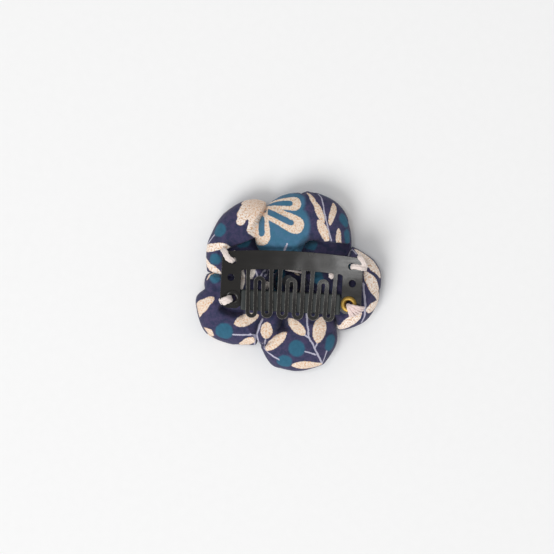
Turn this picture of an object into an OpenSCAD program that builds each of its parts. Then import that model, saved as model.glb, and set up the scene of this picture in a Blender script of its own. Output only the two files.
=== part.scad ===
// Fabric flower sewn to a snap comb hair clip, lying face down with the clip on top.
// X runs along the clip, +Y points to the clip's band, +Z points to the wearer's head.
// The origin is on the surface that the flower lies on, under the middle of its outline.

/* [Clip] */
// Width of the clip over its ears
clip_w = 32; // [30:0.5:34]
// Thickness of the spring steel
steel_t = 0.5; // [0.4:0.05:0.6]
// Radius that the clip is bent to, so that its ends lift towards the head
bend_r = 107; // [90:1:140]
// Depth of the band above the window
band_h = 4.3; // [4:0.1:4.6]
// Radius of the arched edges of the band
arch_r = 146; // [120:1:200]
// Height of the band's top edge above the clip's middle
band_top = 7.1; // [6.8:0.1:7.4]
// Width of the window between the ears
window_w = 23; // [22.6:0.1:23.4]
// Diameter of the sewing holes
sewing_hole_d = 1.57; // [1.4:0.01:1.7]
// How far the clip's middle lies beside the flower's middle
clip_x = 0.7; // [-1:0.1:1]
// How far the clip's middle lies below the flower's middle
clip_y = -0.2; // [-1:0.1:1]
// Height of the clip's underside, at its middle, above the surface
clip_z = 9.7; // [9.6:0.1:11]

/* [Comb] */
// Width of one strip of the comb
strip_w = 0.9; // [0.7:0.05:0.95]
// Distance between the strips of one group
strip_pitch = 1.75; // [1.65:0.05:1.8]
// Distance between the middles of two groups
group_pitch = 7.35; // [7.25:0.05:7.5]
// How far a tooth reaches below the clip's middle
tooth_tip = 8.4; // [8:0.1:9]
// Height of the inner arch of a group above the clip's middle
arch_top = 1.1; // [0.6:0.1:1.3]
// Lean of the outer groups towards the middle one
group_lean = 2; // [0:0.5:2]
// Lift of the comb at rest, so that its teeth ride over the sleeve
comb_tilt = 5; // [5:0.5:8]
// Gap where a group leaves the band, which stands for the strip's own bend
root_gap = 0.15; // [0.12:0.01:0.25]

/* [Bar and eyelets] */
// Depth of the steel bar inside its sleeve
bar_h = 3; // [2.5:0.1:3.2]
// Lower edge of the sleeve, below the clip's middle
sleeve_low = 6.8; // [6.6:0.1:7]
// Upper edge of the sleeve, below the clip's middle
sleeve_high = 2.1; // [2:0.1:2.4]
// Length of the sleeve
sleeve_len = 22.6; // [21:0.1:22.6]
// Height of the sleeve's face above the underside of the spring frame
sleeve_rise = 0.28; // [0.2:0.01:0.28]
// How far the sleeve hangs below the underside of the spring frame
sleeve_drop = 0.85; // [0.8:0.01:0.85]
// Distance of an eyelet from the clip's middle
eyelet_x = 13.2; // [13:0.1:13.4]
// Depth of an eyelet below the clip's middle
eyelet_y = 4.25; // [4:0.05:4.4]
// Outer diameter of an eyelet
eyelet_d = 3.7; // [3:0.1:3.7]
// Diameter of the hole through an eyelet
eyelet_bore_d = 1.5; // [1.4:0.05:1.6]

/* [Flower] */
// Turn of the whole flower against the clip
flower_turn = 3; // [0:1:6]
// Size of the flower's outline against its usual 41 mm
flower_size = 1.0; // [0.98:0.01:1.02]
// Radius of the ring that the petals are gathered round
gather_r = 3.6; // [3.5:0.1:4.5]
// Half the thickness of a petal at its crown
petal_half_t = 4.3; // [3.5:0.1:4.3]
// How far the gathered inner end of a petal rises towards the clip
petal_lift = 1.0; // [0:0.1:1.2]
// How far an upper petal leans over its lower neighbour
petal_lean = 1.0; // [0:0.1:1.2]
// Gap between neighbouring petals
petal_gap = 0.3; // [0.2:0.05:0.6]
// Thickness of the folded cotton
cotton_t = 0.6; // [0.4:0.1:0.8]
// Diameter of the covered button on the front
button_d = 8.4; // [7:0.2:8.4]

/* [Thread] */
// Diameter of a bundle of sewing thread
bundle_d = 0.9; // [0.6:0.05:0.95]
// Diameter of the gathering thread
gather_thread_d = 0.6; // [0.4:0.05:0.7]

/* [Hidden] */

$fn = 64;
fine = 720;
steel_colour = [0.24, 0.24, 0.25];
sleeve_colour = [0.20, 0.23, 0.24];
brass_colour = [0.80, 0.62, 0.25];
thread_colour = [0.94, 0.88, 0.84];
cotton_colour = [0.27, 0.25, 0.38];
wadding_colour = [0.93, 0.93, 0.91];
button_colour = [0.20, 0.40, 0.50];

// Seam k runs outward from the gathered ring, between petal k and petal k + 1, clockwise from the top left
seams = [
    [[-2.3, 1.9], [-4.6, 4.9], [-6.9, 8.0], [-7.2, 11.2], [-6.1, 14.4], [-4.5, 17.3]],
    [[2.8, 1.2], [7.6, 3.9], [12.4, 5.4], [14.1, 7.9]],
    [[2.2, -2.1], [6.4, -4.8], [9.8, -7.4], [10.8, -10.8]],
    [[-1.3, -2.8], [-3.6, -6.2], [-5.7, -9.2], [-6.9, -12.0], [-7.0, -14.2]],
    [[-3.0, -0.2], [-8.6, 0.9], [-13.6, 1.7], [-18.1, 2.0]]
];
// 1 where petal k lies over petal k + 1, and -1 where it lies under it
over = [-1, 1, -1, 1, -1];
// A petal's own middle, and its free edge from its clockwise notch to the other one
petal_middles = [[-10.8, 8.6], [3.9, 11.0], [12.0, -1.6], [2.0, -10.8], [-11.4, -5.8]];
rims = [
    [[-7.1, 18.3], [-10.6, 17.7], [-14.8, 14.8], [-17.2, 10.7], [-18.2, 7.8], [-18.3, 4.6]],
    [[13.9, 11.4], [13.0, 14.9], [10.4, 18.0], [5.8, 20.2], [2.3, 20.3], [-1.7, 19.2]],
    [[13.5, -10.6], [17.2, -8.9], [19.4, -6.1], [20.4, -3.6], [20.8, 1.2], [20.0, 3.5], [18.2, 5.5]],
    [[-6.2, -15.5], [-3.7, -18.7], [-1.2, -19.6], [2.6, -20.1], [7.0, -18.9], [8.5, -17.8], [10.8, -13.9]],
    [[-18.9, 0.1], [-19.3, -1.5], [-20.5, -3.2], [-20.8, -5.1], [-20.1, -8.3], [-18.9, -11.0],
        [-16.9, -12.7], [-12.8, -14.1], [-9.6, -14.3]]
];
seam_steps = 9;
rim_steps = 18;
inner_steps = 1;
both_seams_steps = 2 * seam_steps + rim_steps;
outline_steps = both_seams_steps + inner_steps;
crown_steps = 5;

inner_r = gather_r + 0.75;

ear_w = (clip_w - window_w) / 2;
ear_x = clip_w / 2 - ear_w / 2;
corner_r = 1.2;
root_y = band_top - band_h;
hinge_z = clip_z + steel_t + sagitta(group_pitch + 2 * strip_pitch);
top_hole = [13.5, 4.3];
middle_hole = [13.8, 0.45];
fit_gap = 0.02;
eyelet_wall_d = 2.2;
eyelet_rim_t = 0.35;
lug_r = 2;
wadding_gap = 0.15;
sheet_space = 40;

function sagitta(x) = bend_r - sqrt(bend_r * bend_r - x * x);
function tilt_at(x) = asin(x / bend_r);

// ---------- flower ----------

// Point at u spans along a smooth curve through the points of p
function curve_point(p, u) =
    let (
        last = len(p) - 1,
        i = min(floor(u), last - 1),
        t = u - i,
        a = p[max(i - 1, 0)],
        b = p[i],
        c = p[i + 1],
        d = p[min(i + 2, last)]
    )
    (2 * b + (c - a) * t + (2 * a - 5 * b + 4 * c - d) * t * t + (3 * b - a - 3 * c + d) * t * t * t) / 2;

// Points along the curve that stay clear of its two ends, which rounds the notches
function curve(p, steps) = [for (j = [0:steps - 1]) curve_point(p, (j + 0.5) * (len(p) - 1) / steps)];
function reversed(p) = [for (j = [len(p) - 1:-1:0]) p[j]];
function ends_of(k) = [seams[k][len(seams[k]) - 1], seams[(k + 4) % 5][len(seams[(k + 4) % 5]) - 1]];

// Points just outside the gathered ring, from the direction of point a round to that of point b
function inner_arc(a, b) = [
    for (j = [1:inner_steps])
        let (way = a + (b - a) * j / (inner_steps + 1))
        way * inner_r / norm(way)
];

// Anticlockwise outline of petal k: out along one seam, round the free edge, back along the other seam
// and on beside the gathered ring
function outline(k) =
    let (near = curve(seams[k], seam_steps), far = curve(seams[(k + 4) % 5], seam_steps))
    flower_size * concat(
        near,
        curve(concat([ends_of(k)[0]], rims[k], [ends_of(k)[1]]), rim_steps),
        reversed(far),
        inner_arc(far[0], near[0])
    );
outlines = [for (k = [0:4]) outline(k)];

// How petal k leans at point i of its outline: 1 over, -1 under its neighbour, 0 at the free edge
function lean(k, i) =
    i < seam_steps ? over[k] * sin(180 * (i + 0.5) / seam_steps)
    : i < seam_steps + rim_steps ? 0
    : i < both_seams_steps ? -over[(k + 4) % 5] * sin(180 * (both_seams_steps - i - 0.5) / seam_steps)
    : 0;

// Outward direction of petal k's outline at point i
function outward(k, i) =
    let (d = outlines[k][(i + 1) % outline_steps] - outlines[k][(i + outline_steps - 1) % outline_steps])
    [d[1], -d[0]] / norm(d);

// Height of a petal's middle surface at radius r
function petal_mid_z(r) = petal_half_t + petal_lift * max(0, 1 - r / 10.8);

// A point of petal k: latitude v runs from the front to the back, i round the outline
function petal_point(k, i, v, inset) =
    let (
        edge = outlines[k][i] - (petal_gap / 2 + inset) * outward(k, i),
        share = pow(cos(v), 0.7),
        level = sign(v) * pow(abs(sin(v)), 0.9),
        aside = petal_lean * lean(k, i) * level * share,
        p = petal_middles[k] + share * (edge - petal_middles[k]) + aside * outward(k, i),
        z = petal_mid_z(norm(p)) + (petal_half_t - inset) * level
    )
    [p[0] * cos(flower_turn) - p[1] * sin(flower_turn), p[0] * sin(flower_turn) + p[1] * cos(flower_turn), z];

rows = 2 * crown_steps - 1;
function petal_points(k, inset) = concat(
    [petal_point(k, 0, -90, inset)],
    [for (j = [1:rows]) for (i = [0:outline_steps - 1])
        petal_point(k, i, -90 + j * 90 / crown_steps, inset)],
    [petal_point(k, 0, 90, inset)]
);

// The middle of the flower's outline, which the origin lies under
rim = [for (k = [0:4]) for (i = [0:outline_steps - 1]) petal_point(k, i, 0, 0)];
rim_x = [for (p = rim) p[0]];
rim_y = [for (p = rim) p[1]];
centre = [(min(rim_x) + max(rim_x)) / 2, (min(rim_y) + max(rim_y)) / 2];

module petal_body(k, inset) {
    n = outline_steps;
    last = rows * n + 1;
    front = [for (i = [0:n - 1]) [0, 1 + i, 1 + (i + 1) % n]];
    sides = [for (j = [0:rows - 2]) for (i = [0:n - 1]) for (half = [0:1])
        let (a = 1 + j * n + i, b = 1 + j * n + (i + 1) % n)
        half == 0 ? [a, a + n, b] : [b, a + n, b + n]];
    back = [for (i = [0:n - 1]) [last, last - n + (i + 1) % n, last - n + i]];
    translate([-centre[0], -centre[1], 0])
        polyhedron(points = petal_points(k, inset), faces = concat(front, sides, back));
}

module petal(k) {
    color(cotton_colour) difference() {
        petal_body(k, 0);
        petal_body(k, cotton_t);
    }
}

module wadding(k) {
    color(wadding_colour) petal_body(k, cotton_t + wadding_gap);
}

module petal_top_left() { petal(0); }
module petal_top_right() { petal(1); }
module petal_right() { petal(2); }
module petal_bottom() { petal(3); }
module petal_lower_left() { petal(4); }
module wadding_top_left() { wadding(0); }
module wadding_top_right() { wadding(1); }
module wadding_right() { wadding(2); }
module wadding_bottom() { wadding(3); }
module wadding_lower_left() { wadding(4); }

// Puts children at the flower's middle, at height z
module at_flower(z) {
    translate([-centre[0], -centre[1], z]) children();
}

gather_z = petal_half_t + petal_lift;
module gathering_thread() {
    ring_r = gather_r - gather_thread_d / 2 - 0.1;
    color(thread_colour) at_flower(gather_z) rotate_extrude()
        translate([ring_r, 0]) circle(d = gather_thread_d, $fn = 24);
}

button_z = 0.5;
button_rim_h = 0.8;
button_dome_h = 1.2;
module centre_button() {
    r = button_d / 2;
    dome_r = (r * r + button_dome_h * button_dome_h) / (2 * button_dome_h);
    color(button_colour) at_flower(button_z) union() {
        intersection() {
            translate([0, 0, dome_r]) sphere(r = dome_r, $fn = 180);
            cylinder(r = r, h = button_dome_h);
        }
        translate([0, 0, button_dome_h]) cylinder(r = r, h = button_rim_h);
    }
}

shank_r = 1.4;
module button_shank() {
    base = button_z + button_dome_h + button_rim_h;
    color(steel_colour) at_flower(base) difference() {
        cylinder(r = shank_r, h = gather_z - base);
        translate([0, 0, (gather_z - base) / 2]) rotate([0, 90, 0])
            cylinder(r = 0.5, h = 4 * shank_r, center = true, $fn = 32);
    }
}

// ---------- clip ----------

// Puts children in the clip's own frame: its middle is the origin, at the underside of the bent sheet
module in_clip() {
    translate([clip_x - centre[0], clip_y - centre[1], clip_z]) children();
}

// Puts children on the bent sheet above (x, y), with Z along the sheet's own normal
module on_sheet(x, y) {
    translate([0, y, bend_r]) rotate([0, -tilt_at(x), 0]) translate([0, 0, -bend_r]) children();
}

// Cuts an outline out of a bent sheet that lies between two heights
module bent_sheet(low, high) {
    intersection() {
        translate([0, 0, -2]) linear_extrude(height = 8) children();
        translate([0, 0, bend_r]) rotate([90, 0, 0]) difference() {
            cylinder(r = bend_r - low, h = sheet_space, center = true, $fn = fine);
            cylinder(r = bend_r - high, h = sheet_space + 2, center = true, $fn = fine);
        }
    }
}

module ear_outline(side) {
    translate([side * ear_x, 0]) union() {
        translate([-ear_w / 2, -eyelet_y]) square([ear_w, eyelet_y + root_y + 0.1]);
        translate([0, -eyelet_y]) circle(d = ear_w);
    }
}

module band_outline() {
    half = clip_w / 2;
    intersection() {
        union() {
            translate([-half, root_y - 0.5]) square([clip_w, band_top - root_y - 1.2]);
            translate([corner_r - half, root_y - 0.5]) square([clip_w - 2 * corner_r, band_h + 1]);
            for (side = [-1, 1])
                translate([side * (half - corner_r), band_top - 1.7]) circle(r = corner_r);
        }
        translate([0, band_top - arch_r]) circle(r = arch_r, $fn = fine);
    }
}

module window_outline() {
    intersection() {
        translate([-window_w / 2, -tooth_tip - 2]) square([window_w, tooth_tip + 2 + root_y]);
        translate([0, root_y - arch_r + band_h]) circle(r = arch_r - band_h, $fn = fine);
    }
}

module sheet_hole(x, y, d) {
    on_sheet(x, y) cylinder(d = d, h = 6, center = true);
}

module spring_frame() {
    color(steel_colour) in_clip() difference() {
        bent_sheet(0, steel_t) difference() {
            union() {
                band_outline();
                ear_outline(-1);
                ear_outline(1);
            }
            window_outline();
        }
        for (side = [-1, 1]) {
            sheet_hole(side * top_hole[0], top_hole[1], sewing_hole_d);
            sheet_hole(side * middle_hole[0], middle_hole[1], sewing_hole_d);
            sheet_hole(side * eyelet_x, -eyelet_y, eyelet_wall_d + 2 * fit_gap);
        }
    }
}

// Half of a ring that joins two strips: up is 1 for an arch and -1 for a loop
module strip_turn(x, y, up) {
    outer = (strip_pitch + strip_w) / 2;
    translate([x, y]) intersection() {
        difference() {
            circle(r = outer);
            circle(r = outer - strip_w);
        }
        translate([-outer, up > 0 ? 0 : -outer]) square([2 * outer, outer]);
    }
}

module strip(x, low, high) {
    translate([x - strip_w / 2, low]) square([strip_w, high - low]);
}

// One group: down, round, up, over, down, round and up again, in one strip
module group_outline(root) {
    turn_r = (strip_pitch + strip_w) / 2;
    low = turn_r - tooth_tip;
    high = arch_top - turn_r;
    for (side = [-1, 1]) {
        strip(side * 1.5 * strip_pitch, low, root);
        strip(side * 0.5 * strip_pitch, low, high);
        strip_turn(side * strip_pitch, low, -1);
    }
    strip_turn(0, high, 1);
}

// place is -1, 0 or 1 for the left, middle and right group
module comb_group(place) {
    group_x = place * group_pitch;
    edge_drop = group_x * group_x / (2 * (arch_r - band_h));
    outer_drop = abs(place) * 0.28;
    root = root_y - edge_drop - outer_drop - root_gap;
    color(steel_colour) in_clip()
        translate([0, root_y, 0]) rotate([-comb_tilt, 0, 0]) translate([0, -root_y, 0])
            bent_sheet(0, steel_t)
                translate([group_x, root_y]) rotate(-place * group_lean) translate([0, -root_y])
                    group_outline(root);
}

module comb_left() { comb_group(-1); }
module comb_middle() { comb_group(0); }
module comb_right() { comb_group(1); }

module lower_bar() {
    bar_mid = -(sleeve_low + sleeve_high) / 2;
    color(steel_colour) in_clip() difference() {
        bent_sheet(-steel_t - fit_gap, -fit_gap) union() {
            translate([-eyelet_x, bar_mid - bar_h / 2]) square([2 * eyelet_x, bar_h]);
            for (side = [-1, 1]) translate([side * eyelet_x, -eyelet_y]) circle(r = lug_r);
        }
        for (side = [-1, 1]) sheet_hole(side * eyelet_x, -eyelet_y, eyelet_wall_d + 2 * fit_gap);
    }
}

module rounded_outline(x0, y0, x1, y1, r) {
    translate([x0 + r, y0]) square([x1 - x0 - 2 * r, y1 - y0]);
    translate([x0, y0 + r]) square([x1 - x0, y1 - y0 - 2 * r]);
    for (x = [x0 + r, x1 - r]) for (y = [y0 + r, y1 - r]) translate([x, y]) circle(r = r, $fn = 32);
}

module grip_sleeve() {
    half_angle = tilt_at(sleeve_len / 2);
    slot_gap = 0.04;
    bar_mid = -(sleeve_low + sleeve_high) / 2;
    color(sleeve_colour) in_clip() translate([0, 0, bend_r]) rotate([90, 0, 0])
        rotate([0, 0, -90 - half_angle]) rotate_extrude(angle = 2 * half_angle, $fn = fine) difference() {
            rounded_outline(bend_r - sleeve_rise, sleeve_high, bend_r + sleeve_drop, sleeve_low, 0.45);
            translate([bend_r + fit_gap - slot_gap, -bar_mid - bar_h / 2 - slot_gap])
                square([steel_t + 2 * slot_gap, bar_h + 2 * slot_gap]);
        }
}

module eyelet(side) {
    bore_r = eyelet_bore_d / 2;
    rim_r = eyelet_d / 2;
    top = steel_t + fit_gap;
    bottom = -steel_t - 2 * fit_gap;
    back_rim_t = 0.25;
    round_r = eyelet_rim_t / 2;
    color(side > 0 ? brass_colour : steel_colour) in_clip() on_sheet(side * eyelet_x, -eyelet_y)
        rotate_extrude() union() {
            translate([bore_r, bottom - back_rim_t])
                square([eyelet_wall_d / 2 - bore_r, top - bottom + back_rim_t]);
            translate([bore_r, top]) square([rim_r - bore_r - round_r, eyelet_rim_t]);
            translate([rim_r - round_r, top + round_r]) circle(r = round_r, $fn = 24);
            translate([bore_r, bottom - back_rim_t]) square([rim_r - bore_r - 0.2, back_rim_t]);
        }
}

module eyelet_left() { eyelet(-1); }
module eyelet_right() { eyelet(1); }

// ---------- sewing thread ----------

tube_sides = 10;
turn_steps = 4;

// A strand that comes up at a, lies over the sheet at height over, and goes down at b
module strand(a, b, d, over, drop) {
    span = norm(b - a);
    bend = min(0.7, span / 2);
    path = concat(
        [[0, -drop, 90]],
        [for (i = [0:turn_steps]) let (t = 90 * i / turn_steps)
            [bend - bend * cos(t), over - bend + bend * sin(t), 90 - t]],
        [for (i = [0:turn_steps]) let (t = 90 * i / turn_steps)
            [span - bend + bend * sin(t), over - bend + bend * cos(t), -t]],
        [[span, -drop, -90]]
    );
    n = tube_sides;
    points = [for (p = path) for (i = [0:n - 1]) let (f = 360 * i / n)
        [p[0] - sin(p[2]) * cos(f) * d / 2, sin(f) * d / 2, p[1] + cos(p[2]) * cos(f) * d / 2]];
    sides = [for (j = [0:len(path) - 2]) for (i = [0:n - 1]) for (half = [0:1])
        let (k = j * n + i, m = j * n + (i + 1) % n)
        half == 0 ? [k, m, k + n] : [m, m + n, k + n]];
    caps = [[for (i = [0:n - 1]) n - 1 - i], [for (i = [0:n - 1]) (len(path) - 1) * n + i]];
    middle = (a + b) / 2;
    in_clip() on_sheet(middle[0], middle[1])
        rotate([0, 0, atan2(b[1] - a[1], b[0] - a[0])]) translate([-span / 2, 0, 0])
            polyhedron(points = points, faces = concat(sides, caps));
}

over_sheet = steel_t + bundle_d / 2 + 0.12;
over_eyelet = steel_t + eyelet_rim_t + bundle_d / 2 + 0.12;
thread_drop = 2.2;

module stitch_top_left() {
    color(thread_colour) strand([-13.5, 4.3], [-16.0, 6.8], bundle_d, over_sheet, thread_drop);
}

module stitch_top_right() {
    color(thread_colour) union() {
        strand([13.5, 4.3], [16.6, 4.1], bundle_d, over_sheet, thread_drop);
        strand([14.6, 7.4], [16.7, 5.2], 0.6 * bundle_d, over_sheet, thread_drop);
    }
}

module stitch_bottom_left() {
    color(thread_colour) strand([-13.2, -4.25], [-16.2, -5.7], bundle_d, over_eyelet, thread_drop);
}

module stitch_bottom_right() {
    color(thread_colour) union() {
        strand([13.2, -4.05], [16.6, -5.3], 0.6 * bundle_d, over_eyelet, thread_drop);
        strand([13.35, -4.4], [14.6, -7.3], 0.6 * bundle_d, over_eyelet, thread_drop);
    }
}

knot_at = [8.9, 1.9, -0.45];
module thread_knot() {
    color(thread_colour) in_clip() translate(knot_at) union() {
        sphere(d = 1.4, $fn = 48);
        translate([0.15, 0.5, -0.05]) sphere(d = 1.1, $fn = 48);
    }
}

spring_frame();
comb_left();
comb_middle();
comb_right();
lower_bar();
grip_sleeve();
eyelet_left();
eyelet_right();
petal_top_left();
petal_top_right();
petal_right();
petal_bottom();
petal_lower_left();
wadding_top_left();
wadding_top_right();
wadding_right();
wadding_bottom();
wadding_lower_left();
gathering_thread();
centre_button();
button_shank();
stitch_top_left();
stitch_top_right();
stitch_bottom_left();
stitch_bottom_right();
thread_knot();
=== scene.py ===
import math

import bmesh
import bpy
import numpy as np
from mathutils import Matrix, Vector


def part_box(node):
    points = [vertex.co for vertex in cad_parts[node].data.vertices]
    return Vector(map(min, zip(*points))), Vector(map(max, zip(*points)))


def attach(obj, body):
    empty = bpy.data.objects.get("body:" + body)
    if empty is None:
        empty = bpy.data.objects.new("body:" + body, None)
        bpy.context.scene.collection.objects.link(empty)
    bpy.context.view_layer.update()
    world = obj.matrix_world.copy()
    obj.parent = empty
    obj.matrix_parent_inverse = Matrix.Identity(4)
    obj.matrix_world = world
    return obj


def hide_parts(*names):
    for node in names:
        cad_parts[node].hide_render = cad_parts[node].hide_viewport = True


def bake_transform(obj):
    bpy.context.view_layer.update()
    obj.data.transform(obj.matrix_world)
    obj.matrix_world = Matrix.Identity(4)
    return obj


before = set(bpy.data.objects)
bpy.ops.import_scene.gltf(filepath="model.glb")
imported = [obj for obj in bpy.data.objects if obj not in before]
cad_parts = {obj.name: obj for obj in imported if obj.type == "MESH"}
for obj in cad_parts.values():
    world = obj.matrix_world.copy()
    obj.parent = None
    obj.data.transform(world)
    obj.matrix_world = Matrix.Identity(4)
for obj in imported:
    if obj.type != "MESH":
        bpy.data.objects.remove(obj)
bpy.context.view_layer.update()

# ---------------------------------------------------------------- places and sizes, in millimetres
MM = 0.001
BASE, COMB = "flower_and_clip", "comb"  # the two bodies
FLOWER_TURN = math.radians(3)  # of the flower, and of the camera's view, against the clip

ring_low, ring_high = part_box("gathering_thread")
leaf_low, leaf_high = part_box("spring_frame")
FLOWER = np.array((ring_low + ring_high) / 2) / MM  # the middle of the gathered ring
BAND_TOP = 7.1  # the band's highest point over the clip's own middle
CLIP = np.array([(leaf_low.x + leaf_high.x) / 2, leaf_high.y, leaf_low.z]) / MM
CLIP[1] -= BAND_TOP
BEND_R = 107.0  # the clip's bend across its width
STEEL_T = 0.5
CLIP_W = 32.0
WINDOW_W = 23.0
BAND_H = 4.3
ARCH_R = 146.0  # the arch of the band's upper edge
ROOT_Y = BAND_TOP - BAND_H  # where the teeth leave the band
SEWING_D = 1.57
TOP_HOLE = (13.5, 4.3)
MIDDLE_HOLE = (13.8, 0.45)
EYELET = (13.2, -4.25)
EYELET_D = 3.7
EYELET_WALL_D = 2.2
EYELET_BORE_D = 1.5
COMB_TILT = math.radians(5)  # the teeth's rise out of the band

PETAL_HALF_T = 4.3
PETAL_LIFT = 1.0  # how much higher a petal's middle sheet is at the flower's middle
PETAL_MID_R = 10.8  # where that lift ends
SKIN_GAP = 0.12  # the skins stand back from the seams' lines by this much
SEAM_LEVEL = -0.45  # where the sewn seam runs, from -1 in front to 1 at the back
RIM_BLUNT = 2.9  # how blunt a petal's free edge is
SEAM_STEPS, RIM_STEPS, INNER_STEPS = 9, 18, 1  # points along the parts of a petal's outline
INNER_R = 4.35  # where a petal's inner end lies, from the flower's middle
ROUND_POWER = 0.55  # of the petal's section
GRID = 64  # quads across a petal's skin
PUFF_CAP = 0.75  # the furthest that cloth simulation may move a petal's skin
TURN = 2 * math.pi


def step(x, low, high):
    """0 below low, 1 above high, smooth between; low may be the larger one."""
    t = np.clip((x - low) / (high - low), 0, 1)
    return t * t * (3 - 2 * t)


def in_flower(points):
    """From the flower's own flat frame to the row frame, in millimetres."""
    p = np.asarray(points, float)
    c, s = math.cos(FLOWER_TURN), math.sin(FLOWER_TURN)
    out = p.copy()
    out[..., 0] = c * p[..., 0] - s * p[..., 1] + FLOWER[0]
    out[..., 1] = s * p[..., 0] + c * p[..., 1] + FLOWER[1]
    return out


def in_clip(points):
    """From the flat clip, where z is the height over its underside, to the bent clip in the row frame."""
    p = np.asarray(points, float)
    angle = np.arcsin(np.clip(p[..., 0] / BEND_R, -1, 1))
    out = p.copy()
    out[..., 0] = p[..., 0] - p[..., 2] * np.sin(angle)
    out[..., 2] = BEND_R * (1 - np.cos(angle)) + p[..., 2] * np.cos(angle)
    return out + CLIP


def new_object(name, data):
    ob = bpy.data.objects.new(name, data)
    bpy.context.scene.collection.objects.link(ob)
    return ob


def make_mesh(name, points, faces):
    """A smooth mesh object from points in the row frame, in millimetres."""
    mesh = bpy.data.meshes.new(name)
    mesh.from_pydata([tuple(p) for p in np.asarray(points, float) * MM], [], [list(f) for f in faces])
    mesh.validate()
    mesh.polygons.foreach_set("use_smooth", [True] * len(mesh.polygons))
    mesh.update()
    return new_object(name, mesh)


def evaluated(ob):
    """A new mesh of what ob's modifiers or curve settings make."""
    bpy.context.view_layer.update()
    deps = bpy.context.evaluated_depsgraph_get()
    return bpy.data.meshes.new_from_object(ob.evaluated_get(deps), depsgraph=deps)


def subdivided(ob):
    """ob with one level of subdivision applied to its mesh."""
    modifier = ob.modifiers.new("round", "SUBSURF")
    modifier.levels = modifier.render_levels = 1
    old, mesh = ob.data, evaluated(ob)
    ob.modifiers.clear()
    ob.data = mesh
    bpy.data.meshes.remove(old)
    mesh.name = ob.name
    return ob


def outward(ob):
    """Turns ob's faces to look outward."""
    bm = bmesh.new()
    bm.from_mesh(ob.data)
    bmesh.ops.recalc_face_normals(bm, faces=bm.faces)
    bm.to_mesh(ob.data)
    bm.free()
    return ob


def read(items, key):
    """One vector for each item, such as every vertex's place, as an array."""
    values = np.zeros(len(items) * 3)
    items.foreach_get(key, values)
    return values.reshape(-1, 3)


def tube_faces(rings, around, first=0):
    """Quads between neighbouring rings of points, counted on from the first point."""
    corners = ((0, 0), (0, 1), (1, 1), (1, 0))
    return [tuple(first + (i + a) * around + (j + b) % around for a, b in corners)
            for i in range(rings - 1) for j in range(around)]


def finish_piece(ob, materials, stands_for=()):
    """Gives a piece of the flower's body its materials, hides the CAD nodes it stands for and hangs it on
    the flower's body.
    """
    ob.data.materials.clear()
    for material in materials:
        ob.data.materials.append(material)
    if stands_for:
        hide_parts(*stands_for)
    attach(ob, BASE)


# ---------------------------------------------------------------- shader helpers
class Shader:
    """A node tree, with short calls for the nodes that the materials use."""

    def __init__(self, tree):
        self.tree = tree

    def node(self, kind, inputs=(), **values):
        n = self.tree.nodes.new(kind)
        for key, value in values.items():
            setattr(n, key, value)
        self.fill(n, dict(inputs))
        return n

    def fill(self, node, inputs):
        """Links or sets each of the node's inputs that has a value."""
        for key, value in inputs.items():
            if isinstance(value, bpy.types.NodeSocket):
                self.tree.links.new(value, node.inputs[key])
            elif value is not None:
                node.inputs[key].default_value = value

    def math(self, operation, a, b=None, c=None, clamp=False):
        inputs = {0: a, 1: b, 2: c}
        return self.node("ShaderNodeMath", inputs, operation=operation, use_clamp=clamp).outputs[0]

    def times(self, a, b):
        return self.math("MULTIPLY", a, b)

    def minus(self, a, b):
        return self.math("SUBTRACT", a, b)

    def times_plus(self, a, b, c):
        return self.math("MULTIPLY_ADD", a, b, c)

    def vector(self, operation, a, b=None, scale=None):
        n = self.node("ShaderNodeVectorMath", {0: a, 1: b, "Scale": scale}, operation=operation)
        return n.outputs["Value"] if operation in ("DOT_PRODUCT", "LENGTH", "DISTANCE") else n.outputs[0]

    def split(self, vector):
        return self.node("ShaderNodeSeparateXYZ", {0: vector}).outputs

    def smooth(self, value, low, high):
        inputs = {"Value": value, "From Min": low, "From Max": high}
        return self.node("ShaderNodeMapRange", inputs, interpolation_type="SMOOTHSTEP").outputs[0]

    def mix(self, factor, a, b):
        return self.node("ShaderNodeMix", {"Factor": factor, 6: a, 7: b}, data_type="RGBA").outputs[2]

    def noise(self, vector, scale, detail, roughness=0.5, output="Fac"):
        inputs = {"Vector": vector, "Scale": scale, "Detail": detail, "Roughness": roughness}
        return self.node("ShaderNodeTexNoise", inputs).outputs[output]

    def bump(self, height, strength, distance, normal=None):
        inputs = {"Height": height, "Strength": strength, "Distance": distance, "Normal": normal}
        return self.node("ShaderNodeBump", inputs).outputs[0]


def colour(code):
    """A screen colour such as 4a6b8c as linear RGBA."""
    parts = [int(code[i:i + 2], 16) / 255 for i in (0, 2, 4)]
    return tuple(c / 12.92 if c <= 0.04045 else ((c + 0.055) / 1.055) ** 2.4 for c in parts) + (1.0,)


def new_material(name):
    material = bpy.data.materials.new(name)
    material.use_nodes = True
    material.node_tree.nodes.clear()
    s = Shader(material.node_tree)
    surface = s.node("ShaderNodeBsdfPrincipled")
    s.node("ShaderNodeOutputMaterial", {0: surface.outputs[0]})
    return material, s, surface


def place(s):
    """Where the point is on the object, in millimetres."""
    return s.vector("SCALE", s.node("ShaderNodeTexCoord").outputs["Object"], scale=1 / MM)


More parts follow.
